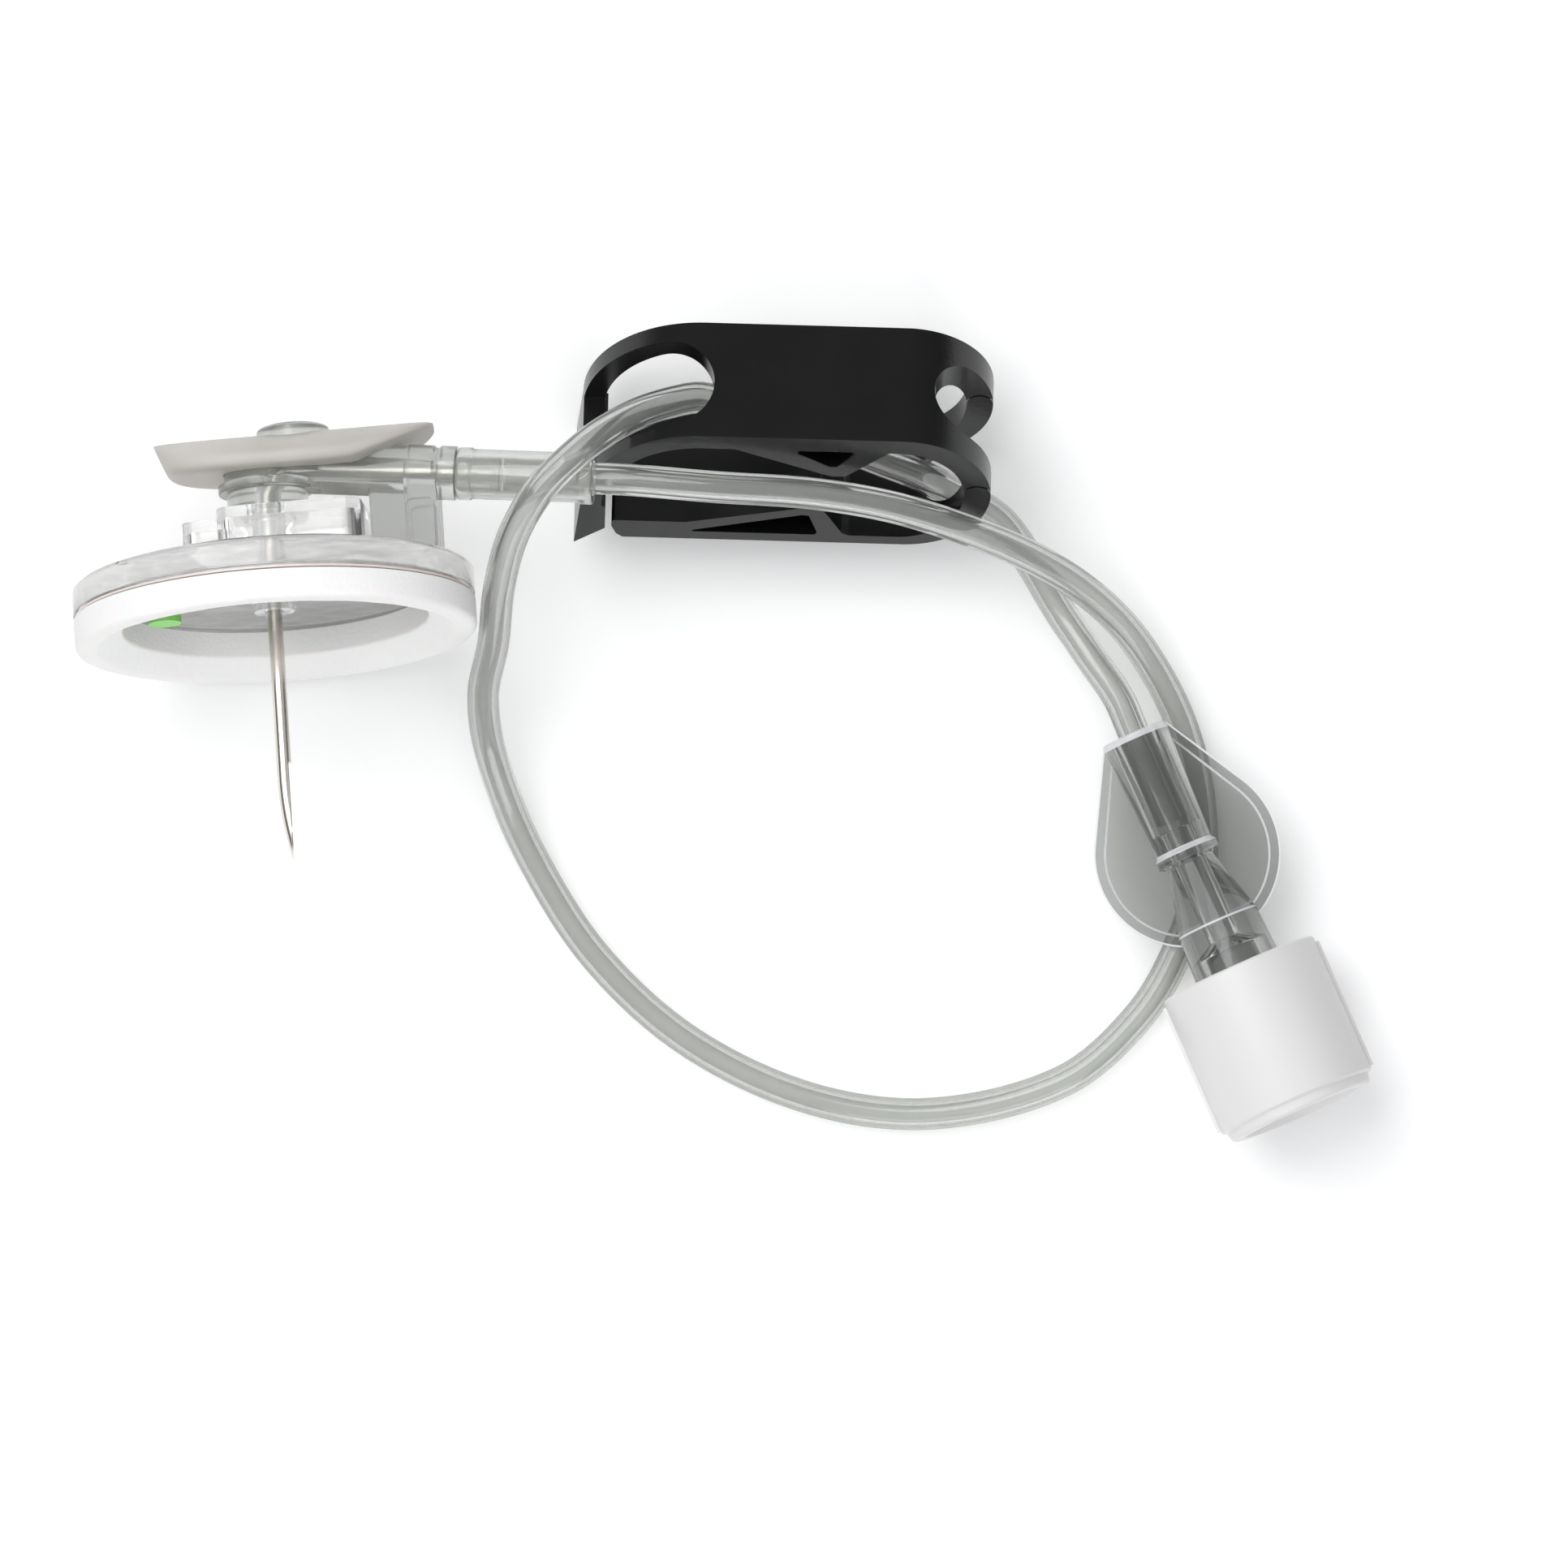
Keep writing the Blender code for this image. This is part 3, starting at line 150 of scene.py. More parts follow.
# Clamp, in the plane of its side face
CLAMP_HEIGHT = 12.6 * MM
CLAMP_STRIP = 1.5 * MM
LATCH_BEND_RADIUS = 8.6 * MM
LATCH_BEND_X = -6.15 * MM
LATCH_DEPTH = 13.4 * MM
HINGE_BEND_X = 8.25 * MM
HINGE_STRIP = 1.9 * MM
HINGE_GAP = 0.15 * MM
HINGE_INSET = 0.4 * MM
HINGE_SLOT_END = 10.35 * MM
HINGE_SLOT_HALF_WIDTH = 3.0 * MM
LATCH_SLOT_END = -5.4 * MM
LATCH_SLOT_NEAR = -4.0 * MM
LATCH_SLOT_FAR = 3.6 * MM
LATCH_SLOT_FLOOR = -7.6 * MM
UPPER_JAW_DEPTH = 4.5 * MM
LOWER_JAW_DEPTH = 8.45 * MM
LEVER_SLOT_END = 9.4 * MM
LEVER_STRIP = 0.9 * MM
LEVER_LEFT = -12.5 * MM
LEVER_LIP_DEPTH = 10.6 * MM

# Luer hub and cap, from the tube socket's mouth
SOCKET_LENGTH = 9.2 * MM
SOCKET_DEPTH = 7.5 * MM
SOCKET_RADIUS = 1.25 * MM
HUB_FLANGE_RADIUS = 2.35 * MM
HUB_FLANGE_LENGTH = 0.6 * MM
HUB_CONE_END = 14.8 * MM
HUB_END_RADIUS = 3.2 * MM
HUB_LENGTH = 24.6 * MM
HUB_SIDES = 96
LUG_RADIUS = 3.9 * MM
LUG_LENGTH = 0.9 * MM
WING_ROOT = 2.4 * MM
WING_REACH = 9.4 * MM
WING_HIGHLIGHT_LINE = 0.14 * MM
WING_RIM = 0.6 * MM
WING_STEP = 0.16 * MM
WING_RECESS = 0.2 * MM
LUER_DEPTH = 7.6 * MM
LUER_MOUTH_RADIUS = 2.15 * MM
LUER_ROOT_RADIUS = 1.9 * MM
FLOW_RADIUS = 0.8 * MM
CAP_START = 18.4 * MM
CAP_LENGTH = 11.3 * MM
CAP_STEP_LENGTH = 0.9 * MM
CAP_WALL = 1.7 * MM
CAP_END_THICKNESS = 2.6 * MM
CAP_RECESS_RADIUS = 4.4 * MM
CAP_RECESS_DEPTH = 0.5 * MM
CAP_CORE_RADIUS = 1.1 * MM
CAP_CORE_DEPTH = 6.0 * MM
CAP_RIB_STAND = 0.25 * MM

# The line's route, in metres
TUBE_ROUTE = [
    (0.01557, 0.01191, 0.01463),
    (0.01824, 0.01182, 0.01500),
    (0.02191, 0.01169, 0.01550),
    (0.02319, 0.01164, 0.01568),
    (0.02488, 0.01154, 0.01585),
    (0.03049, 0.01107, 0.01590),
    (0.03745, 0.01060, 0.01500),
    (0.04325, 0.00962, 0.01330),
    (0.04905, 0.00782, 0.01070),
    (0.05300, 0.00614, 0.00820),
    (0.05659, 0.00399, 0.00600),
    (0.05978, 0.00109, 0.00400),
    (0.06239, -0.00274, 0.00240),
    (0.06413, -0.00662, 0.00150),
    (0.06518, -0.01126, 0.00120),
    (0.06529, -0.01619, 0.00120),
    (0.06402, -0.02112, 0.00120),
    (0.06094, -0.02663, 0.00120),
    (0.05543, -0.03139, 0.00120),
    (0.04615, -0.03371, 0.00120),
    (0.03745, -0.03266, 0.00120),
    (0.02875, -0.02860, 0.00120),
    (0.02208, -0.02257, 0.00120),
    (0.01744, -0.01532, 0.00180),
    (0.01472, -0.00865, 0.00460),
    (0.01398, -0.00401, 0.00860),
    (0.01472, 0.00005, 0.01220),
    (0.01512, 0.00382, 0.01520),
    (0.01611, 0.00759, 0.01740),
    (0.01802, 0.01089, 0.01860),
    (0.02034, 0.01321, 0.01830),
    (0.02237, 0.01484, 0.01680),
    (0.02498, 0.01629, 0.01470),
    (0.02759, 0.01716, 0.01280),
    (0.02968, 0.01745, 0.01160),
    (0.03212, 0.01664, 0.01093),
    (0.03531, 0.01559, 0.01020),
    (0.03850, 0.01455, 0.00956),
    (0.04227, 0.01304, 0.00805),
    (0.04499, 0.01200, 0.00680),
    (0.04789, 0.01055, 0.00580),
    (0.05085, 0.00875, 0.00440),
    (0.05300, 0.00585, 0.00370),
    (0.05514, 0.00225, 0.00370),
    (0.05746, -0.00123, 0.00420),
    (0.05932, -0.00390, 0.00453),
    (0.06048, -0.00656, 0.00472),
    (0.06190, -0.00975, 0.00493),
    (0.06327, -0.01286, 0.00514),
]


def length(label, about, size):
    return FloatProperty(name=label, description=about, default=size, min=0.0, unit='LENGTH')


def colour(label, about, value):
    return FloatVectorProperty(name=label, description=about, default=value, min=0.0, max=1.0,
                               size=3, subtype='COLOR')


class StageSettings(bpy.types.PropertyGroup):
    view_width: length("View width", "Width of the square that the camera sees", 112.06 * MM)
    sky: FloatProperty(name="Sky light", description="Strength of the light from all round",
                       default=0.72, min=0.0)
    key: FloatProperty(name="Key lamp", description="Power of the large lamp", default=3.3,
                       min=0.0, subtype='POWER')
    fill: FloatProperty(name="Fill lamp", description="Power of the low front lamp", default=1.9,
                        min=0.0, subtype='POWER')
    floor: colour("Floor", "Colour of the table", (0.95, 0.95, 0.95))


class ShieldSettings(bpy.types.PropertyGroup):
    base_radius: length("Base radius", "Outer radius of the foam pad and the base plate", 14.4 * MM)
    foam_hole: length("Foam hole", "Radius of the hole in the foam pad", 10.95 * MM)
    foam_thickness: length("Foam thickness", "Thickness of the foam pad", 2.2 * MM)
    foam_cup: length("Foam cup", "How far the pad's face is dished inwards", 1.2 * MM)
    foam_colour: colour("Foam", "Colour of the foam", (0.97, 0.97, 0.955))
    plate_colour: colour("Plate", "Tint of the clear base", (0.985, 0.985, 0.98))


class NeedleSettings(bpy.types.PropertyGroup):
    radius: length("Needle radius", "Outer radius of the cannula", 0.53 * MM)
    bore: length("Needle bore", "Radius of the cannula's bore", 0.35 * MM)
    steel_colour: colour("Steel", "Colour of the needle", (0.74, 0.70, 0.64))


class GripSettings(bpy.types.PropertyGroup):
    grip_length: length("Grip length", "Length of the finger grip", 20.2 * MM)
    grip_width: length("Grip width", "Width of the finger grip", 9.0 * MM)
    grip_thickness: length("Grip thickness", "Thickness at the middle", 2.6 * MM)
    grip_colour: colour("Grip", "Colour of the frosted grip", (0.83, 0.80, 0.75))
    hub_colour: colour("Hub", "Tint of the clear hub", (0.72, 0.735, 0.71))


class TubeSettings(bpy.types.PropertyGroup):
    radius: length("Tube radius", "Outer radius of the line", 1.15 * MM)
    bore: length("Tube bore", "Radius of the line's bore", 0.62 * MM)
    sleeve_radius: length("Sleeve radius", "Outer radius of the sleeve", 1.9 * MM)
    sleeve_length: length("Sleeve length", "Length of the sleeve", 9.8 * MM)
    tube_colour: colour("Tube", "Tint of the line", (0.73, 0.74, 0.72))
    sleeve_colour: colour("Sleeve", "Tint of the sleeve", (0.80, 0.81, 0.79))


class ClampSettings(bpy.types.PropertyGroup):
    width: length("Clamp width", "Width of the pinch clamp", 10.0 * MM)
    edge: length("Clamp edge", "Radius of the moulded edges", 0.16 * MM)
    clamp_colour: colour("Clamp", "Colour of the clamp", (0.0055, 0.0057, 0.006))


class LuerSettings(bpy.types.PropertyGroup):
    wing_radius: length("Wing radius", "Radius of the wings' round lobe", 6.7 * MM)
    wing_thickness: length("Wing thickness", "Thickness of the wings", 1.0 * MM)
    cap_radius: length("Cap radius", "Outer radius of the cap", 5.85 * MM)
    # Partly the luer hub's own grey-green tint, partly painted shade that stands in for the dark
    # surroundings seen through it.
    luer_tint_and_shade: colour("Luer hub", "Tint of the clear luer hub", (0.49, 0.50, 0.485))
    cap_colour: colour("Cap", "Colour of the cap", (0.77, 0.765, 0.76))


# Frames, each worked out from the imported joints

def needle_frame():
    """Origin on the foam's face, Z from the tip towards the grip, X along the barrel."""
    tip = Vector(JOINTS["base_slide"]["axis"]).normalized()
    turn = math.atan2(tip.x, -tip.y)
    tilt = math.asin(tip.z)
    low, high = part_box("adhesive_ring")
    origin = (Vector(low) + Vector(high)) / 2 + tip * ADHESIVE_MIDDLE
    return (Matrix.Translation(origin) @ Matrix.Rotation(turn, 4, 'Z')
            @ Matrix.Rotation(-math.pi / 2 - tilt, 4, 'X') @ Matrix.Rotation(UNIT_ROLL, 4, 'Z'))


def barrel_frame():
    """Z along the hub's barrel, from the needle's axis."""
    return (needle_frame() @ Matrix.Translation((0, 0, BARREL_LEVEL))
            @ Matrix.Rotation(math.pi / 2 + NEEDLE_DROOP, 4, 'Y'))


def hinge_line():
    outer = CLAMP_HEIGHT / 2
    return HINGE_BEND_X + outer - HINGE_STRIP / 2, -outer


def clamp_frame():
    """X along the clamp, Y across it, Z out of its top."""
    across = Vector(JOINTS["clamp_close"]["axis"]).normalized()
    tilt = math.asin(-across.z)
    turn = math.atan2(-across.x, across.y)
    rotation = Matrix.Rotation(turn, 4, 'Z') @ Matrix.Rotation(-tilt, 4, 'X')
    hinge_x, hinge_z = hinge_line()
    origin = Vector(JOINTS["clamp_close"]["pos_m"]) - rotation.to_3x3() @ Vector((hinge_x, 0, hinge_z))
    return Matrix.Translation(origin) @ rotation


def luer_frame():
    """Z along the luer hub towards the cap, Y up, X across the wings."""
    along = Vector(JOINTS["cap_turn"]["axis"]).normalized()
    turn = math.atan2(along.x, -along.y)
    rise = math.asin(along.z)
    origin = Vector(JOINTS["cap_turn"]["pos_m"]) - along * HUB_LENGTH
    return (Matrix.Translation(origin) @ Matrix.Rotation(turn, 4, 'Z')
            @ Matrix.Rotation(math.pi / 2 - rise, 4, 'X'))


# Outlines

def arc(centre, radius_x, radius_y, start, end, steps):
    points = []
    for step in range(steps + 1):
        angle = math.radians(start + (end - start) * step / steps)
        points.append((centre[0] + radius_x * math.cos(angle), centre[1] + radius_y * math.sin(angle)))
    return points


def circle(centre, radius, sides):
    return arc(centre, radius, radius, 0, 360 - 360 / sides, sides - 1)


def filleted(points, radius, steps=4, closed=True):
    """Round the corners of an outline. A third number in a point is that corner's own radius."""
    rounded = []
    last = len(points) - 1
    for index, point in enumerate(points):
        here = Vector(point[:2])
        wanted = point[2] if len(point) > 2 else radius
        before = Vector(points[index - 1][:2]) - here
        after = Vector(points[(index + 1) % len(points)][:2]) - here
        angle = before.angle(after)
        if wanted <= 0 or angle > math.radians(172) or (not closed and index in (0, last)):
            rounded.append(tuple(here))
            continue
        reach = min(wanted / math.tan(angle / 2), before.length * 0.48, after.length * 0.48)
        size = reach * math.tan(angle / 2)
        centre = here + (before.normalized() + after.normalized()).normalized() * size / math.sin(angle / 2)
        spoke = here + before.normalized() * reach - centre
        end = here + after.normalized() * reach - centre
        sweep = spoke.angle_signed(end)
        for step in range(steps + 1):
            turned = Matrix.Rotation(-sweep * step / steps, 2) @ spoke
            rounded.append(tuple(centre + turned))
    return rounded


def rounded_rectangle(left, right, low, high, radius, steps=6):
    return filleted([(right, high), (left, high), (left, low), (right, low)], radius, steps)


# Meshes

def spun(profile, sides=96):
    """Turn a profile of (radius, height) about Z."""
    bm = bmesh.new()
    ring = [bm.verts.new((max(radius, 0), 0, height)) for radius, height in profile]
    edges = [bm.edges.new(pair) for pair in zip(ring, ring[1:])]
    if profile[0][0] > 0 or profile[-1][0] > 0:
        edges.append(bm.edges.new((ring[-1], ring[0])))
    bmesh.ops.spin(bm, geom=ring + edges, cent=(0, 0, 0), axis=(0, 0, 1),
                   angle=2 * math.pi, steps=sides, use_merge=True)
    return bm


def extruded(outline, low, high, along='Z'):
    """Push a closed outline from one level to another along Z or Y."""
    bm = bmesh.new()
    if along == 'Z':
        corners = [bm.verts.new((x, y, low)) for x, y in outline]
        travel = Vector((0, 0, high - low))
    else:
        corners = [bm.verts.new((x, low, z)) for x, z in outline]
        travel = Vector((0, high - low, 0))
    grown = bmesh.ops.extrude_face_region(bm, geom=[bm.faces.new(corners)])["geom"]
    moved = [item for item in grown if isinstance(item, bmesh.types.BMVert)]
    bmesh.ops.translate(bm, verts=moved, vec=travel)
    return bm


def swept(path, radius, bore=0.0, sides=32):
    """A round bar, or a pipe, along a smooth path."""
    bm = bmesh.new()
    path = [Vector(point) for point in path]
    side = None
    shells = (radius, bore) if bore else (radius,)
    rings = []
    for index, point in enumerate(path):
        run = (path[min(index + 1, len(path) - 1)] - path[max(index - 1, 0)]).normalized()
        side = run.orthogonal() if side is None else side - run * side.dot(run)
        side.normalize()
        other = run.cross(side)
        for shell in shells:
            rings.append([bm.verts.new(point + (side * math.cos(2 * math.pi * step / sides)
                                                + other * math.sin(2 * math.pi * step / sides)) * shell)
                          for step in range(sides)])

    def bridge(first, second):
        for step in range(sides):
            after = (step + 1) % sides
            bm.faces.new((first[step], first[after], second[after], second[step]))

    for shell in range(len(shells)):
        skin = rings[shell::len(shells)]
        for first, second in zip(skin, skin[1:]):
            bridge(first, second)
    if bore:
        bridge(rings[0], rings[1])
        bridge(rings[-2], rings[-1])
    else:
        bm.faces.new(rings[0])
        bm.faces.new(rings[-1])
    return bm


def lofted(rings):
    """Skin a row of rings with equal counts, with both ends closed."""
    bm = bmesh.new()
    made = [[bm.verts.new(point) for point in ring] for ring in rings]
    for first, second in zip(made, made[1:]):
        for step in range(len(first)):
            after = (step + 1) % len(first)
            bm.faces.new((first[step], first[after], second[after], second[step]))
    bm.faces.new(made[0])
    bm.faces.new(made[-1])
    return bm


def mesh_piece(name, bm, sharp=35.0):
    """Make an object from a closed bmesh that is still in its own frame."""
    bmesh.ops.remove_doubles(bm, verts=bm.verts, dist=0.0005 * MM)
    bmesh.ops.recalc_face_normals(bm, faces=bm.faces)
    mesh = bpy.data.meshes.new(name)
    bm.to_mesh(mesh)
    bm.free()
    mesh.shade_smooth()
    mesh.set_sharp_from_angle(angle=math.radians(sharp))
    piece = bpy.data.objects.new(name, mesh)
    bpy.context.collection.objects.link(piece)
    return piece


def carve(piece, unions=(), cuts=(), edge=0.0, segments=2):
    """Join shapes on, cut shapes out, round the edges, and keep the result as a plain mesh.

    Faces of the second and third material keep it, and the rounded edges use the second.
    """
    for _ in range(3):
        piece.data.materials.append(None)
    for operation, shapes in (('UNION', unions), ('DIFFERENCE', cuts)):
        for shape in shapes:
            modifier = piece.modifiers.new(operation, 'BOOLEAN')
            modifier.operation = operation
            modifier.solver = 'EXACT'
            modifier.object = mesh_piece("shape", shape)
            for _ in range(3):
                modifier.object.data.materials.append(None)
    if edge:
        bevel = piece.modifiers.new("edges", 'BEVEL')
        bevel.width = edge
        bevel.segments = segments
        bevel.limit_method = 'ANGLE'
        bevel.angle_limit = math.radians(38)
        bevel.use_clamp_overlap = True
        bevel.harden_normals = True
        # The rounded edges take the second material, which on the clip cover is a painted highlight.
        bevel.material = 1
    graph = bpy.context.evaluated_depsgraph_get()
    result = bpy.data.meshes.new_from_object(piece.evaluated_get(graph))
    shapes = [modifier.object for modifier in piece.modifiers if modifier.type == 'BOOLEAN']
    piece.modifiers.clear()
    piece.data = result
    if not edge:
        result.set_sharp_from_angle(angle=math.radians(35))
        for face in result.polygons:
            face.use_smooth = max(abs(share) for share in face.normal) < 0.99999
    for shape in shapes:
        bpy.data.objects.remove(shape, do_unlink=True)
    return piece


def install(piece, place, material, body, node, slot, *others):
    """Put a piece in its frame, on its body, in place of its node. Others are its further materials."""
    materials = (material, *others)
    slots = [min(face.material_index, len(others)) for face in piece.data.polygons]
    piece.data.transform(place)
    piece.data.materials.clear()
    for used in materials[:max(slots) + 1]:
        piece.data.materials.append(used)
    for face, index in zip(piece.data.polygons, slots):
        face.material_index = index
    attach(piece, body)
    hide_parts(node)
    return piece


# Materials

def new_group(name, inputs, outputs):
    tree = bpy.data.node_groups.new(name, 'ShaderNodeTree')
    for label, kind, value in inputs:
        socket = tree.interface.new_socket(name=label, in_out='INPUT', socket_type=kind)
        if value is not None:
            socket.default_value = value
    for label, kind in outputs:
        tree.interface.new_socket(name=label, in_out='OUTPUT', socket_type=kind)
    return tree


def link(tree, *pairs):
    for start, end in pairs:
        tree.links.new(start, end)


def moulded_skin():
    """Fine grain with a slow waviness, for moulded plastic: a roughness value and a normal."""
    if "moulded skin" in bpy.data.node_groups:
        return bpy.data.node_groups["moulded skin"]
    tree = new_group("moulded skin", [
        ("Roughness", 'NodeSocketFloat', 0.2), ("Variation", 'NodeSocketFloat', 0.05),
        ("Grain Scale", 'NodeSocketFloat', 3000.0), ("Wave Scale", 'NodeSocketFloat', 250.0),
        ("Grain", 'NodeSocketFloat', 0.1), ("Wave", 'NodeSocketFloat', 0.1)],
        [("Roughness", 'NodeSocketFloat'), ("Normal", 'NodeSocketVector')])
    nodes = tree.nodes
    given, made = nodes.new('NodeGroupInput'), nodes.new('NodeGroupOutput')
    place = nodes.new('ShaderNodeTexCoord')
    grain, wave = nodes.new('ShaderNodeTexNoise'), nodes.new('ShaderNodeTexNoise')
    grain.inputs["Detail"].default_value = 3
    spread, offset = nodes.new('ShaderNodeMath'), nodes.new('ShaderNodeMath')
    spread.operation, offset.operation = 'MULTIPLY_ADD', 'SUBTRACT'
    offset.inputs[1].default_value = 0.5
    fine, slow = nodes.new('ShaderNodeBump'), nodes.new('ShaderNodeBump')
    fine.inputs["Distance"].default_value = 0.02 * MM
    slow.inputs["Distance"].default_value = 0.3 * MM
    link(tree,
         (place.outputs["Object"], grain.inputs["Vector"]),
         (given.outputs["Grain Scale"], grain.inputs["Scale"]),
         (place.outputs["Object"], wave.inputs["Vector"]),
         (given.outputs["Wave Scale"], wave.inputs["Scale"]),
         (wave.outputs["Fac"], offset.inputs[0]), (offset.outputs[0], spread.inputs[0]),
         (given.outputs["Variation"], spread.inputs[1]), (given.outputs["Roughness"], spread.inputs[2]),
         (spread.outputs[0], made.inputs["Roughness"]),
         (wave.outputs["Fac"], slow.inputs["Height"]), (given.outputs["Wave"], slow.inputs["Strength"]),
         (grain.outputs["Fac"], fine.inputs["Height"]), (given.outputs["Grain"], fine.inputs["Strength"]),
         (slow.outputs["Normal"], fine.inputs["Normal"]), (fine.outputs["Normal"], made.inputs["Normal"]))
    return tree


def mottled_tint():
    """One colour drifting softly to another, for plastics and foam that aren't even."""
    if "mottled tint" in bpy.data.node_groups:
        return bpy.data.node_groups["mottled tint"]
    tree = new_group("mottled tint", [
        ("Light", 'NodeSocketColor', None), ("Dark", 'NodeSocketColor', None),
        ("Scale", 'NodeSocketFloat', 200.0), ("Contrast", 'NodeSocketFloat', 1.0)],
        [("Color", 'NodeSocketColor')])
    nodes = tree.nodes
    given, made = nodes.new('NodeGroupInput'), nodes.new('NodeGroupOutput')
    place = nodes.new('ShaderNodeTexCoord')
    patches = nodes.new('ShaderNodeTexNoise')
    patches.inputs["Detail"].default_value = 4
    centre, stretch = nodes.new('ShaderNodeMath'), nodes.new('ShaderNodeMath')
    centre.operation = 'SUBTRACT'
    centre.inputs[1].default_value = 0.5
    stretch.operation = 'MULTIPLY_ADD'
    stretch.use_clamp = True
    stretch.inputs[2].default_value = 0.5
    blend = nodes.new('ShaderNodeMix')
    blend.data_type = 'RGBA'
    link(tree,
         (place.outputs["Object"], patches.inputs["Vector"]),
         (given.outputs["Scale"], patches.inputs["Scale"]),
         (patches.outputs["Fac"], centre.inputs[0]), (centre.outputs[0], stretch.inputs[0]),
         (given.outputs["Contrast"], stretch.inputs[1]), (stretch.outputs[0], blend.inputs["Factor"]),
         (given.outputs["Light"], blend.inputs["A"]), (given.outputs["Dark"], blend.inputs["B"]),
         (blend.outputs["Result"], made.inputs["Color"]))
    return tree


def blank_material(name):
    material = bpy.data.materials.new(name)
    material.use_nodes = True
    return material, material.node_tree, material.node_tree.nodes["Principled BSDF"]


def place_group(tree, group, **values):
    node = tree.nodes.new('ShaderNodeGroup')
    node.node_tree = group
    for label, value in values.items():
        node.inputs[label.replace("_", " ").title()].default_value = value
    return node


def shade(value, share):
    return (*(channel * share for channel in value), 1)


def let_lamps_through(material, tint):
    """Lamps shine through clear plastic, so its shadow stays pale."""
    tree = material.node_tree
    shader, output = tree.nodes["Principled BSDF"], tree.nodes["Material Output"]
    rays, through, mix = (tree.nodes.new('ShaderNodeLightPath'), tree.nodes.new('ShaderNodeBsdfTransparent'),
                          tree.nodes.new('ShaderNodeMixShader'))
    through.inputs["Color"].default_value = (*tint, 1)
    link(tree, (rays.outputs["Is Shadow Ray"], mix.inputs["Fac"]), (shader.outputs[0], mix.inputs[1]),
         (through.outputs[0], mix.inputs[2]), (mix.outputs[0], output.inputs["Surface"]))


def clear_plastic(name, tint, roughness, wave, ior=1.49, cloud=0.0, rim_share=0.6):
    """See-through plastic. Cloud is the share of light that it scatters instead of letting through.

    The rim share is how bright the tint stays where the surface turns away from the camera; the darker tint
    there is painted shade along the outlines.
    """
    material, tree, shader = blank_material(name)
    skin = place_group(tree, moulded_skin(), roughness=roughness, variation=0.06, wave=wave, grain=0.0)
    tints = place_group(tree, mottled_tint(), light=shade(tint, 1.0), dark=shade(tint, 0.93), scale=260.0)
    # Layer Weight blends the tint towards its rim share where the surface turns away: painted shade along
    # the outlines.
    turned, rim = tree.nodes.new('ShaderNodeLayerWeight'), tree.nodes.new('ShaderNodeMix')
    turned.inputs["Blend"].default_value = 0.35
    rim.data_type = 'RGBA'
    rim.inputs["B"].default_value = shade(tint, rim_share)
    shader.inputs["Transmission Weight"].default_value = 1.0 - cloud
    shader.inputs["IOR"].default_value = ior
    link(tree, (tints.outputs["Color"], rim.inputs["A"]), (turned.outputs["Facing"], rim.inputs["Factor"]),
         (rim.outputs["Result"], shader.inputs["Base Color"]),
         (skin.outputs["Roughness"], shader.inputs["Roughness"]),
         (skin.outputs["Normal"], shader.inputs["Normal"]))
    let_lamps_through(material, tint)
    return material


def painted_highlight_edge(name):
    """The rounded edges of clear mouldings, which show white: a whiter, cloudier clear plastic as a painted
    highlight.
    """
    return clear_plastic(name, (0.93, 0.93, 0.96), roughness=0.3, wave=0.1, cloud=0.6, rim_share=1.0)


def solid_plastic(name, tint, roughness, grain, wave, dark=0.9, scale=300.0):
    material, tree, shader = blank_material(name)
    skin = place_group(tree, moulded_skin(), roughness=roughness, variation=0.12, wave=wave, grain=grain)
    tints = place_group(tree, mottled_tint(), light=shade(tint, 1.0), dark=shade(tint, dark), scale=scale)
    link(tree, (tints.outputs["Color"], shader.inputs["Base Color"]),
         (skin.outputs["Roughness"], shader.inputs["Roughness"]),
         (skin.outputs["Normal"], shader.inputs["Normal"]))
    return material


def frosted_plastic(name, tint):
    material = solid_plastic(name, tint, roughness=0.42, grain=0.4, wave=0.15, dark=0.8, scale=190.0)
    shader = material.node_tree.nodes["Principled BSDF"]
    shader.inputs["Transmission Weight"].default_value = 0.4
    shader.inputs["IOR"].default_value = 1.45
    return material


def foam_material(tint):
    """Closed-cell foam: small cells that show as a fine bump and a faint shading."""
    material, tree, shader = blank_material("closed-cell foam")
    cells = tree.nodes.new('ShaderNodeTexVoronoi')
    place = tree.nodes.new('ShaderNodeTexCoord')
    cells.inputs["Scale"].default_value = 3600
    bump = tree.nodes.new('ShaderNodeBump')
    bump.inputs["Distance"].default_value = 0.05 * MM
    bump.inputs["Strength"].default_value = 0.5
    tints = place_group(tree, mottled_tint(), light=shade(tint, 1.0), dark=shade(tint, 0.95), scale=420.0)
    shader.inputs["Roughness"].default_value = 0.92
    shader.inputs["Subsurface Weight"].default_value = 0.25
    shader.inputs["Subsurface Scale"].default_value = 0.6 * MM
    link(tree, (place.outputs["Object"], cells.inputs["Vector"]),
         (cells.outputs["Distance"], bump.inputs["Height"]),
         (bump.outputs["Normal"], shader.inputs["Normal"]),
         (tints.outputs["Color"], shader.inputs["Base Color"]))
    return material


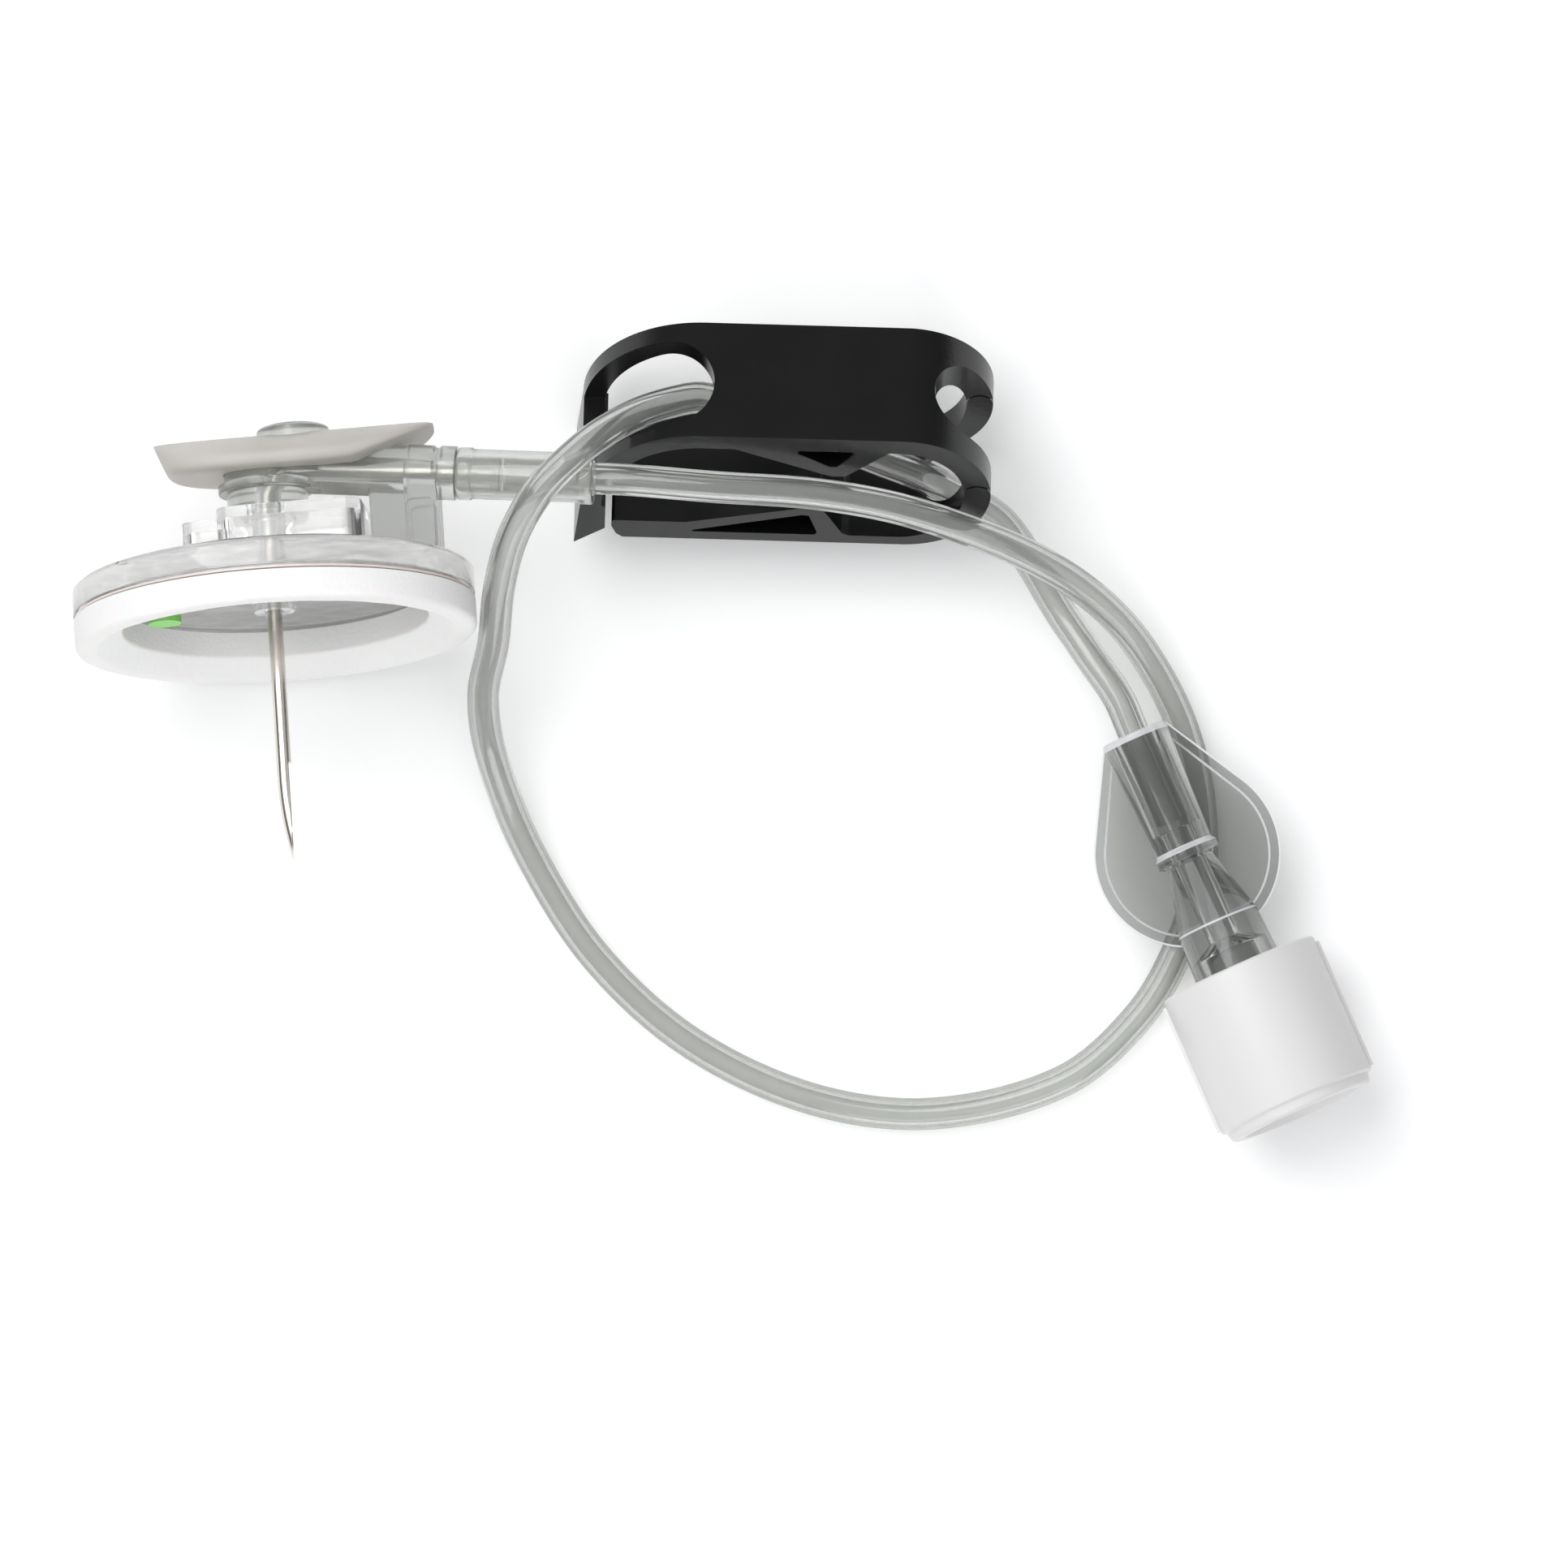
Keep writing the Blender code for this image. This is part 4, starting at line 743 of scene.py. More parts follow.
def drawn_steel(name, tint, along):
    """Drawn steel with fine lines along its length."""
    material, tree, shader = blank_material(name)
    place, turn = tree.nodes.new('ShaderNodeTexCoord'), tree.nodes.new('ShaderNodeMapping')
    lines = tree.nodes.new('ShaderNodeTexNoise')
    lines.inputs["Scale"].default_value = 4000
    turn.inputs["Rotation"].default_value = along.to_track_quat('Z', 'Y').inverted().to_euler()
    turn.inputs["Scale"].default_value = (1, 1, 0.03)
    bump = tree.nodes.new('ShaderNodeBump')
    bump.inputs["Distance"].default_value = 0.01 * MM
    bump.inputs["Strength"].default_value = 0.35
    tints = place_group(tree, mottled_tint(), light=shade(tint, 1.0), dark=shade(tint, 0.86), scale=700.0)
    skin = place_group(tree, moulded_skin(), roughness=0.2, variation=0.12)
    shader.inputs["Metallic"].default_value = 1.0
    link(tree, (place.outputs["Object"], turn.inputs["Vector"]),
         (turn.outputs["Vector"], lines.inputs["Vector"]),
         (lines.outputs["Fac"], bump.inputs["Height"]), (bump.outputs["Normal"], shader.inputs["Normal"]),
         (skin.outputs["Roughness"], shader.inputs["Roughness"]),
         (tints.outputs["Color"], shader.inputs["Base Color"]))
    return material


def smooth_path(route, spacing):
    """Evenly spaced points on one smooth curve through the route's points."""
    knots = [Vector(point) for point in route]
    lengths = [0.0]
    for before, after in zip(knots, knots[1:]):
        lengths.append(lengths[-1] + (after - before).length)
    last = len(knots) - 1
    slopes = []
    for index in range(last + 1):
        low, high = max(index - 1, 0), min(index + 1, last)
        slopes.append((knots[high] - knots[low]) / (lengths[high] - lengths[low]))
    dense = []
    for index in range(last):
        span = lengths[index + 1] - lengths[index]
        for step in range(20):
            t = step / 20
            dense.append(knots[index] * (2 * t ** 3 - 3 * t ** 2 + 1)
                         + slopes[index] * span * (t ** 3 - 2 * t ** 2 + t)
                         + knots[index + 1] * (3 * t ** 2 - 2 * t ** 3)
                         + slopes[index + 1] * span * (t ** 3 - t ** 2))
    dense.append(knots[-1])
    total = sum((after - before).length for before, after in zip(dense, dense[1:]))
    count = round(total / spacing)
    points = [dense[0]]
    walked = 0.0
    for before, after in zip(dense, dense[1:]):
        step = (after - before).length
        while walked + step >= total * len(points) / count and len(points) < count:
            points.append(before.lerp(after, (total * len(points) / count - walked) / step))
        walked += step
    points.append(dense[-1])
    return points


def leg_point(along):
    """A point on the drooping axis of the barrel."""
    return Vector((along * math.cos(NEEDLE_DROOP), 0, BARREL_LEVEL - along * math.sin(NEEDLE_DROOP)))


def needle_path(start, end, steps=24):
    """Up the needle's axis, round the bend and out along the barrel."""
    turn = math.pi / 2 + NEEDLE_DROOP
    bend_start = BARREL_LEVEL - NEEDLE_BEND_RADIUS * math.tan(turn / 2)
    path = [Vector((0, 0, start)), Vector((0, 0, bend_start))]
    for step in range(1, steps + 1):
        angle = turn * step / steps
        path.append(Vector((NEEDLE_BEND_RADIUS * (1 - math.cos(angle)), 0,
                            bend_start + NEEDLE_BEND_RADIUS * math.sin(angle))))
    path.append(leg_point(end))
    return path


class NEEDLESET_OT_stage(bpy.types.Operator):
    """Camera straight above, a pale table, a large lamp and a low fill"""
    bl_idname = "needleset.stage"
    bl_label = "Stage"

    def execute(self, context):
        settings = context.scene.needle_stage
        scene = context.scene
        scene.view_settings.view_transform = 'Standard'
        low, high = CAD_BOX
        middle = Vector(((low.x + high.x) / 2, (low.y + high.y) / 2, 0))
        camera_data = bpy.data.cameras.new("camera")
        camera_data.type = 'ORTHO'
        camera_data.ortho_scale = settings.view_width
        camera_data.clip_start = 0.01
        camera_data.clip_end = 10
        camera = bpy.data.objects.new("camera", camera_data)
        camera.location = photo_centre() + Vector((0, 0, 0.6))
        context.collection.objects.link(camera)
        scene.camera = camera

        floor = mesh_piece("table", extruded(rounded_rectangle(-2.5, 2.5, -2.5, 2.5, 0.1), -0.01, 0))
        floor.location = middle
        floor.data.materials.append(self.table_top(settings.floor))
        self.lamp(context, "key lamp", settings.key, 0.55, middle + Vector((-0.25, 0.28, 0.62)), middle)
        self.lamp(context, "fill lamp", settings.fill, 0.5, middle + Vector((0.12, -0.62, 0.34)), middle)
        self.sky(scene, settings.sky)
        return {'FINISHED'}

    def table_top(self, tint):
        """A matt table that the camera, gloss and clear plastic see a little whiter than it is lit."""
        material = solid_plastic("table top", tint, roughness=0.8, grain=0.02, wave=0.0, dark=0.995)
        tree = material.node_tree
        rays = tree.nodes.new('ShaderNodeLightPath')
        seen, clear, white = (tree.nodes.new('ShaderNodeMath') for _ in range(3))
        for node in (seen, clear):
            node.operation = 'MAXIMUM'
        white.operation = 'MULTIPLY'
        white.inputs[1].default_value = 0.12
        shader = tree.nodes["Principled BSDF"]
        shader.inputs["Emission Color"].default_value = (1, 1, 1, 1)
        link(tree, (rays.outputs["Is Camera Ray"], seen.inputs[0]),
             (rays.outputs["Is Glossy Ray"], seen.inputs[1]),
             (seen.outputs[0], clear.inputs[0]), (rays.outputs["Is Transmission Ray"], clear.inputs[1]),
             (clear.outputs[0], white.inputs[0]),
             (white.outputs[0], shader.inputs["Emission Strength"]))
        return material

    def lamp(self, context, name, power, size, place, target):
        data = bpy.data.lights.new(name, 'AREA')
        data.energy = power
        data.shape = 'SQUARE'
        data.size = size
        lamp = bpy.data.objects.new(name, data)
        lamp.location = place
        lamp.rotation_euler = (target - place).to_track_quat('-Z', 'Y').to_euler()
        context.collection.objects.link(lamp)

    def sky(self, scene, strength):
        """Soft light from above in a dark room, so low reflections are dark. The camera sees white."""
        world = bpy.data.worlds.new("studio")
        scene.world = world
        world.use_nodes = True
        tree = world.node_tree
        back = tree.nodes["Background"]
        place, split = tree.nodes.new('ShaderNodeTexCoord'), tree.nodes.new('ShaderNodeSeparateXYZ')
        ramp = tree.nodes.new('ShaderNodeValToRGB')
        ramp.color_ramp.elements[0].position = 0.15
        ramp.color_ramp.elements[0].color = (0.06, 0.06, 0.065, 1)
        ramp.color_ramp.elements[1].position = 0.7
        ramp.color_ramp.elements[1].color = (0.85, 0.86, 0.88, 1)
        back.inputs["Strength"].default_value = strength
        rays, white, seen = (tree.nodes.new('ShaderNodeLightPath'), tree.nodes.new('ShaderNodeBackground'),
                             tree.nodes.new('ShaderNodeMixShader'))
        white.inputs["Color"].default_value = (1, 1, 1, 1)
        link(tree, (place.outputs["Generated"], split.inputs[0]), (split.outputs["Z"], ramp.inputs["Fac"]),
             (ramp.outputs["Color"], back.inputs["Color"]),
             (rays.outputs["Is Camera Ray"], seen.inputs["Fac"]),
             (back.outputs[0], seen.inputs[1]), (white.outputs[0], seen.inputs[2]),
             (seen.outputs[0], tree.nodes["World Output"].inputs["Surface"]))


def photo_centre():
    """The point of the table that the camera looks straight down on."""
    return Vector((35.48, -10.16, 0)) * MM


class NEEDLESET_OT_line(bpy.types.Operator):
    """The clear line and the sleeve that holds it on the hub"""
    bl_idname = "needleset.line"
    bl_label = "Line and Sleeve"

    def execute(self, context):
        settings = context.scene.needle_tube
        soft = clear_plastic("clear soft tube", settings.tube_colour, roughness=0.1, wave=0.0, ior=1.5,
                             cloud=0.1, rim_share=0.25)
        route = smooth_path(TUBE_ROUTE, LINE_STEP)
        tube = mesh_piece("line", swept(route, settings.radius, settings.bore, sides=56), sharp=50)
        install(tube, Matrix.Identity(4), soft, NEEDLE_SET, "tubing", "clear tube")
        start = BARREL_LENGTH + COLLAR_LENGTH + SEAT_GAP
        end = start + settings.sleeve_length
        lip, ring, step = 0.2 * MM, 1.0 * MM, 0.1 * MM
        inner = settings.radius + FIT_GAP
        outer = settings.sleeve_radius
        profile = filleted([
            (inner, start), (outer, start), (outer, start + ring), (outer - step, start + ring + step),
            (outer - step, end - ring), (outer, end - ring + step), (outer, end), (inner, end)], lip, 3)
        sleeve = mesh_piece("sleeve", spun(profile, sides=64))
        install(sleeve, barrel_frame(),
                clear_plastic("clear sleeve", settings.sleeve_colour, roughness=0.12, wave=0.1, ior=1.5,
                              cloud=0.1),
                NEEDLE_SET, "tube_sleeve", "clear tube")
        return {'FINISHED'}


class NEEDLESET_OT_shield(bpy.types.Operator):
    """The foam pad with its adhesive, the clear base plate, the clip housing, the clip and the lock dot"""
    bl_idname = "needleset.shield"
    bl_label = "Sliding Shield"

    def execute(self, context):
        settings = context.scene.needle_shield
        self.foam(settings)
        self.plate(settings)
        self.housing(settings)
        nodes = frame["nodes"]
        tip = Vector(JOINTS["base_slide"]["axis"])
        for node, material in (
                ("adhesive_ring", solid_plastic("adhesive film", (0.86, 0.76, 0.72), roughness=0.4,
                                                grain=0.3, wave=0.2)),
                ("lock_indicator", solid_plastic("green lock dot", (0.26, 0.74, 0.14), roughness=0.35,
                                                 grain=0.2, wave=0.1)),
                ("safety_clip", drawn_steel("spring strip", (0.62, 0.62, 0.61), tip))):
            nodes[node].data.materials.clear()
            nodes[node].data.materials.append(material)
        return {'FINISHED'}

    def foam(self, settings):
        outer, inner, top = settings.base_radius, settings.foam_hole, settings.foam_thickness
        seat, crown = SEAT_RADIUS - FIT_GAP, PLATE_FLOOR - FIT_GAP
        profile = filleted([
            (outer - FOAM_FACE_WIDTH, 0, 0.6 * MM), (outer, 0, 0.5 * MM), (outer, top, 0.05 * MM),
            (seat, top, 0.05 * MM), (seat, crown, 0.1 * MM),
            (inner, crown, 0.05 * MM), (inner, settings.foam_cup, 0.3 * MM)], 0.1 * MM, steps=6)
        bm = spun(profile, sides=192)
        for vert in bm.verts:
            sway = noise.noise(vert.co * 330) * 0.05 * MM
            vert.co.z += sway * max(1 - vert.co.z / top, 0)
        foam = mesh_piece("foam_pad", bm, sharp=60)
        install(foam, needle_frame(), foam_material(settings.foam_colour), SAFETY_BASE, "foam_ring",
                "white foam")

    def plate(self, settings):
        bore, outer = GUIDE_BORE, settings.base_radius
        base, top = PLATE_BASE, PLATE_TOP
        guide_end = base - GUIDE_DEPTH
        step_top = PLATE_RIM_TOP + (top - PLATE_RIM_TOP) * 0.45
        profile = filleted([
            (bore, guide_end), (GUIDE_RADIUS, guide_end), (GUIDE_RADIUS, PLATE_FLOOR, 0.03 * MM),
            (SEAT_RADIUS, PLATE_FLOOR, 0.03 * MM), (SEAT_RADIUS, base), (outer, base, 0.06 * MM),
            (outer, PLATE_RIM_TOP, 0.15 * MM), (outer - 0.35 * MM, step_top, 0.08 * MM),
            (outer - 0.7 * MM, step_top, 0.05 * MM), (13.4 * MM, top - 0.25 * MM), (12.7 * MM, top),
            (12.0 * MM, top), (11.85 * MM, top - 0.15 * MM), (11.5 * MM, top - 0.15 * MM), (11.35 * MM, top),
            (bore, top)], 0.06 * MM, 3)
        body = spun(profile, sides=160)
        # The seat's floor, seen through the foam's hole, takes the second material, a grey clear plastic:
        # painted shade.
        for face in body.faces:
            spot = face.calc_center_median()
            under = abs(spot.z - PLATE_FLOOR) < 0.01 * MM and spot.xy.length < SEAT_RADIUS
            face.material_index = int(under)
        plate = mesh_piece("base_plate_clear", body)
        half, notch_low = 0.175 * MM, top - 0.7 * MM
        notch = extruded([(12.7 * MM, -half), (15 * MM, -half), (15 * MM, half), (12.7 * MM, half)],
                         notch_low, top + MM)
        notch.transform(Matrix.Rotation(math.radians(226), 4, 'Z'))
        reach, around = settings.foam_hole - DOT_INSET, math.radians(DOT_ANGLE)
        dot = (reach * math.cos(around), reach * math.sin(around))
        pocket = extruded(circle(dot, DOT_POCKET_RADIUS, 48), base - MM, base + 0.5 * MM)
        carve(plate, cuts=[notch, pocket])
        install(plate, needle_frame(),
                clear_plastic("clear base", settings.plate_colour, roughness=0.1, wave=0.3, cloud=0.14,
                              rim_share=0.92),
                SAFETY_BASE, "base_plate", "clear plastic",
                # A grey copy of the clear plastic for the seat's floor: painted shade.
                clear_plastic("plate underside painted shade", (0.34, 0.34, 0.335), roughness=0.2, wave=0.6))

    def housing(self, settings):
        wall, corner = 0.7 * MM, 1.1 * MM
        step_top = HOUSING_BASE + 3.4 * MM
        body = extruded(rounded_rectangle(-3.4 * MM, 7 * MM, -4.2 * MM, 4.2 * MM, corner),
                        HOUSING_BASE, HOUSING_TOP)
        step = extruded(rounded_rectangle(-6 * MM, -1.2 * MM, -3.4 * MM, 3.4 * MM, corner),
                        HOUSING_BASE, step_top)
        inner = extruded(rounded_rectangle(wall - 3.4 * MM, 7 * MM - wall, wall - 4.2 * MM, 4.2 * MM - wall,
                                           corner - wall / 2), HOUSING_BASE - MM, HOUSING_TOP - wall)
        low = extruded(rounded_rectangle(wall - 6 * MM, -1.2 * MM, wall - 3.4 * MM, 3.4 * MM - wall,
                                         corner - wall / 2), HOUSING_BASE - MM, step_top - wall)
        hole = extruded(circle((0, 0), 1.35 * MM, 48), HOUSING_TOP - 2 * wall, HOUSING_TOP + MM)
        housing = mesh_piece("clip_cover", body)
        carve(housing, [step], [inner, low, hole], edge=0.22 * MM, segments=3)
        # The cover's rounded edges get a whiter clear plastic: painted highlight.
        install(housing, needle_frame(),
                clear_plastic("clear cover", settings.plate_colour, roughness=0.1, wave=0.2, cloud=0.04,
                              rim_share=0.8),
                SAFETY_BASE, "clip_housing", "clear plastic", painted_highlight_edge("cover edges painted highlight"))


class NEEDLESET_OT_needle(bpy.types.Operator):
    """The bent steel cannula with its non-coring tip"""
    bl_idname = "needleset.needle"
    bl_label = "Needle"

    def execute(self, context):
        settings = context.scene.needle_cannula
        bend_start = TIP_BEND_RADIUS * math.sin(TIP_BEND_LENGTH / TIP_BEND_RADIUS) - NEEDLE_REACH
        steps = 30
        tip = []
        for step in range(steps, 0, -1):
            angle = TIP_BEND_LENGTH / TIP_BEND_RADIUS * step / steps
            tip.append(Vector((TIP_BEND_RADIUS * (1 - math.cos(angle)), 0,
                               bend_start - TIP_BEND_RADIUS * math.sin(angle))))
        needle = mesh_piece("cannula", swept(tip + needle_path(bend_start, NEEDLE_LEG), settings.radius,
                                             settings.bore, sides=40))
        face = math.sqrt((settings.radius + SLIDE_GAP / 2) ** 2 - settings.radius ** 2)
        reach = NEEDLE_REACH + 3 * MM
        grind = extruded([(face, -reach), (face + 3 * MM, -reach), (face + 3 * MM, bend_start + MM),
                          (face, bend_start + MM)], -2 * MM, 2 * MM, 'Y')
        carve(needle, cuts=[grind])
        tip_axis = Vector(JOINTS["base_slide"]["axis"])
        install(needle, needle_frame(), drawn_steel("needle steel", settings.steel_colour, tip_axis),
                NEEDLE_SET, "needle", "needle steel")
        return {'FINISHED'}


class NEEDLESET_OT_grip(bpy.types.Operator):
    """The clear hub that holds the needle, and the frosted finger grip on it"""
    bl_idname = "needleset.grip"
    bl_label = "Hub and Grip"

    def execute(self, context):
        settings = context.scene.needle_grip
        self.hub(settings)
        self.saddle(settings)
        return {'FINISHED'}

    def hub(self, settings):
        post_end = PLATE_TOP + 0.6 * MM
        profile = filleted([
            (0, post_end), (1.2 * MM, post_end), (1.2 * MM, NECK_BASE), (2.9 * MM, NECK_BASE),
            (2.9 * MM, SAUCER_BASE), (3.5 * MM, SAUCER_BASE), (3.5 * MM, SHOULDER_BASE),
            (SHOULDER_RADIUS, SHOULDER_BASE), (SHOULDER_RADIUS, SHOULDER_TOP), (0, SHOULDER_TOP)],
            0.12 * MM, steps=3, closed=False)
        hub = mesh_piece("clear_hub", spun(profile))
        collar_end = BARREL_LENGTH + COLLAR_LENGTH
        nipple_end = collar_end + NIPPLE_LENGTH
        to_barrel = Matrix.Translation((0, 0, BARREL_LEVEL)) @ Matrix.Rotation(
            math.pi / 2 + NEEDLE_DROOP, 4, 'Y')
        barrel = spun(filleted([
            (0, 0.6 * MM), (BARREL_RADIUS, 0.6 * MM), (BARREL_RADIUS, BARREL_LENGTH - 2.2 * MM),
            (COLLAR_RADIUS, BARREL_LENGTH - 2.1 * MM), (COLLAR_RADIUS, BARREL_LENGTH - 0.25 * MM),
            (1.8 * MM, BARREL_LENGTH - 0.1 * MM), (1.8 * MM, BARREL_LENGTH + 0.1 * MM),
            (COLLAR_RADIUS, BARREL_LENGTH + 0.25 * MM), (COLLAR_RADIUS, collar_end),
            (NIPPLE_RADIUS, collar_end), (NIPPLE_RADIUS, nipple_end), (0, nipple_end)],
            0.08 * MM, steps=3, closed=False), sides=64)
        barrel.transform(to_barrel)
        root = SHOULDER_BASE + 0.3 * MM
        dome = arc((0, HEAD_TOP - HEAD_DOME), HEAD_RADIUS, HEAD_DOME, 0, 90, 10)[:-1]
        knob = spun([(0, root), (HEAD_RADIUS, root)] + dome + [(0, HEAD_TOP)], sides=64)
        knob.transform(Matrix.Translation((HEAD_OFFSET, 0, 0)))
        foot = PLATE_TOP + SEAT_GAP
        arm_top = leg_point(ARM_LEFT).z
        inset = 0.15 * MM
        arm, pad, web = (
            extruded(rounded_rectangle(left, right, low, high, corner), -half, half, 'Y')
            for left, right, low, high, corner, half in (
                (ARM_LEFT, ARM_RIGHT, foot, arm_top, 0.3 * MM, 1.8 * MM),
                (ARM_LEFT + inset, ARM_RIGHT - inset, foot + inset, foot + PAD_HEIGHT, 0.5 * MM, 2.6 * MM),
                (WEB_LEFT, ARM_LEFT + 0.4 * MM, foot + inset, arm_top, 0.3 * MM, 1.0 * MM)))
        bore = swept(needle_path(post_end - MM, nipple_end + MM), 0.63 * MM, sides=32)
        # The pad's edge faces take the second material, a whiter clear plastic: painted highlight.
        pad.normal_update()
        for face in pad.faces:
            face.material_index = 1 if abs(face.normal.y) < 0.5 else 2
        # The arm, the web and the pad's flat faces take the third material, a darker copy of the hub's tint:
        # painted shade under the grip.
        for face in (*arm.faces, *web.faces):
            face.material_index = 2
        carve(hub, [barrel, knob, arm, pad, web], [bore])
        install(hub, needle_frame(),
                clear_plastic("clear hub", settings.hub_colour, roughness=0.16, wave=0.2, cloud=0.18),
                NEEDLE_SET, "needle_hub", "clear plastic", painted_highlight_edge("hub edges painted highlight"),
                # A darker copy of the hub's tint: painted shade on the arm.
                clear_plastic("hub arm painted shade", shade(settings.hub_colour, 0.5)[:3], roughness=0.18, wave=0.1,
                              cloud=0.1))

    def saddle(self, settings):
        rings = []
        stations, around = 64, 64
        for station in range(stations + 1):
            share = max(-0.997, min(0.997, -math.cos(math.pi * station / stations)))
            middle = HEAD_OFFSET + share * settings.grip_length / 2
            half_width = settings.grip_width / 2 * (1 - abs(share) ** 2.6) ** (1 / 2.6)
            slant = max((share - 0.45) / 0.55, 0)
            rake = max(-share, 0) ** 8 * 0.9 * MM
            thickness = settings.grip_thickness * (1 - 0.8 * slant - 0.15 * max(-share, 0) ** 12)
            ring = []
            for step in range(around):
                angle = 2 * math.pi * step / around
                across = math.copysign(abs(math.cos(angle)) ** 0.7, math.cos(angle))
                up = math.copysign(abs(math.sin(angle)) ** 0.8, math.sin(angle))
                y = half_width * across
                arch = 0.95 * MM * (2 * y / settings.grip_width) ** 2
                x = middle + rake * (1 - up) / 2
                ring.append((x, y, GRIP_TOP - arch - thickness / 2 * (1 - up)))
            rings.append(ring)
        saddle = mesh_piece("finger_grip", lofted(rings), sharp=60)
        knob = extruded(circle((HEAD_OFFSET, 0), HEAD_RADIUS + FIT_GAP, 64), SHOULDER_BASE, HEAD_TOP + MM)
        shoulder = extruded(circle((0, 0), SHOULDER_RADIUS + FIT_GAP, 64), SHOULDER_BASE,
                            SHOULDER_TOP + SEAT_GAP)
        tunnel = swept([leg_point(0.5 * MM), leg_point(BARREL_LENGTH + 3 * MM)],
                       BARREL_RADIUS + FIT_GAP, sides=48)
        carve(saddle, cuts=[knob, shoulder, tunnel])
        install(saddle, needle_frame(), frosted_plastic("frosted grip", settings.grip_colour),
                NEEDLE_SET, "wing_grip", "frosted grip")


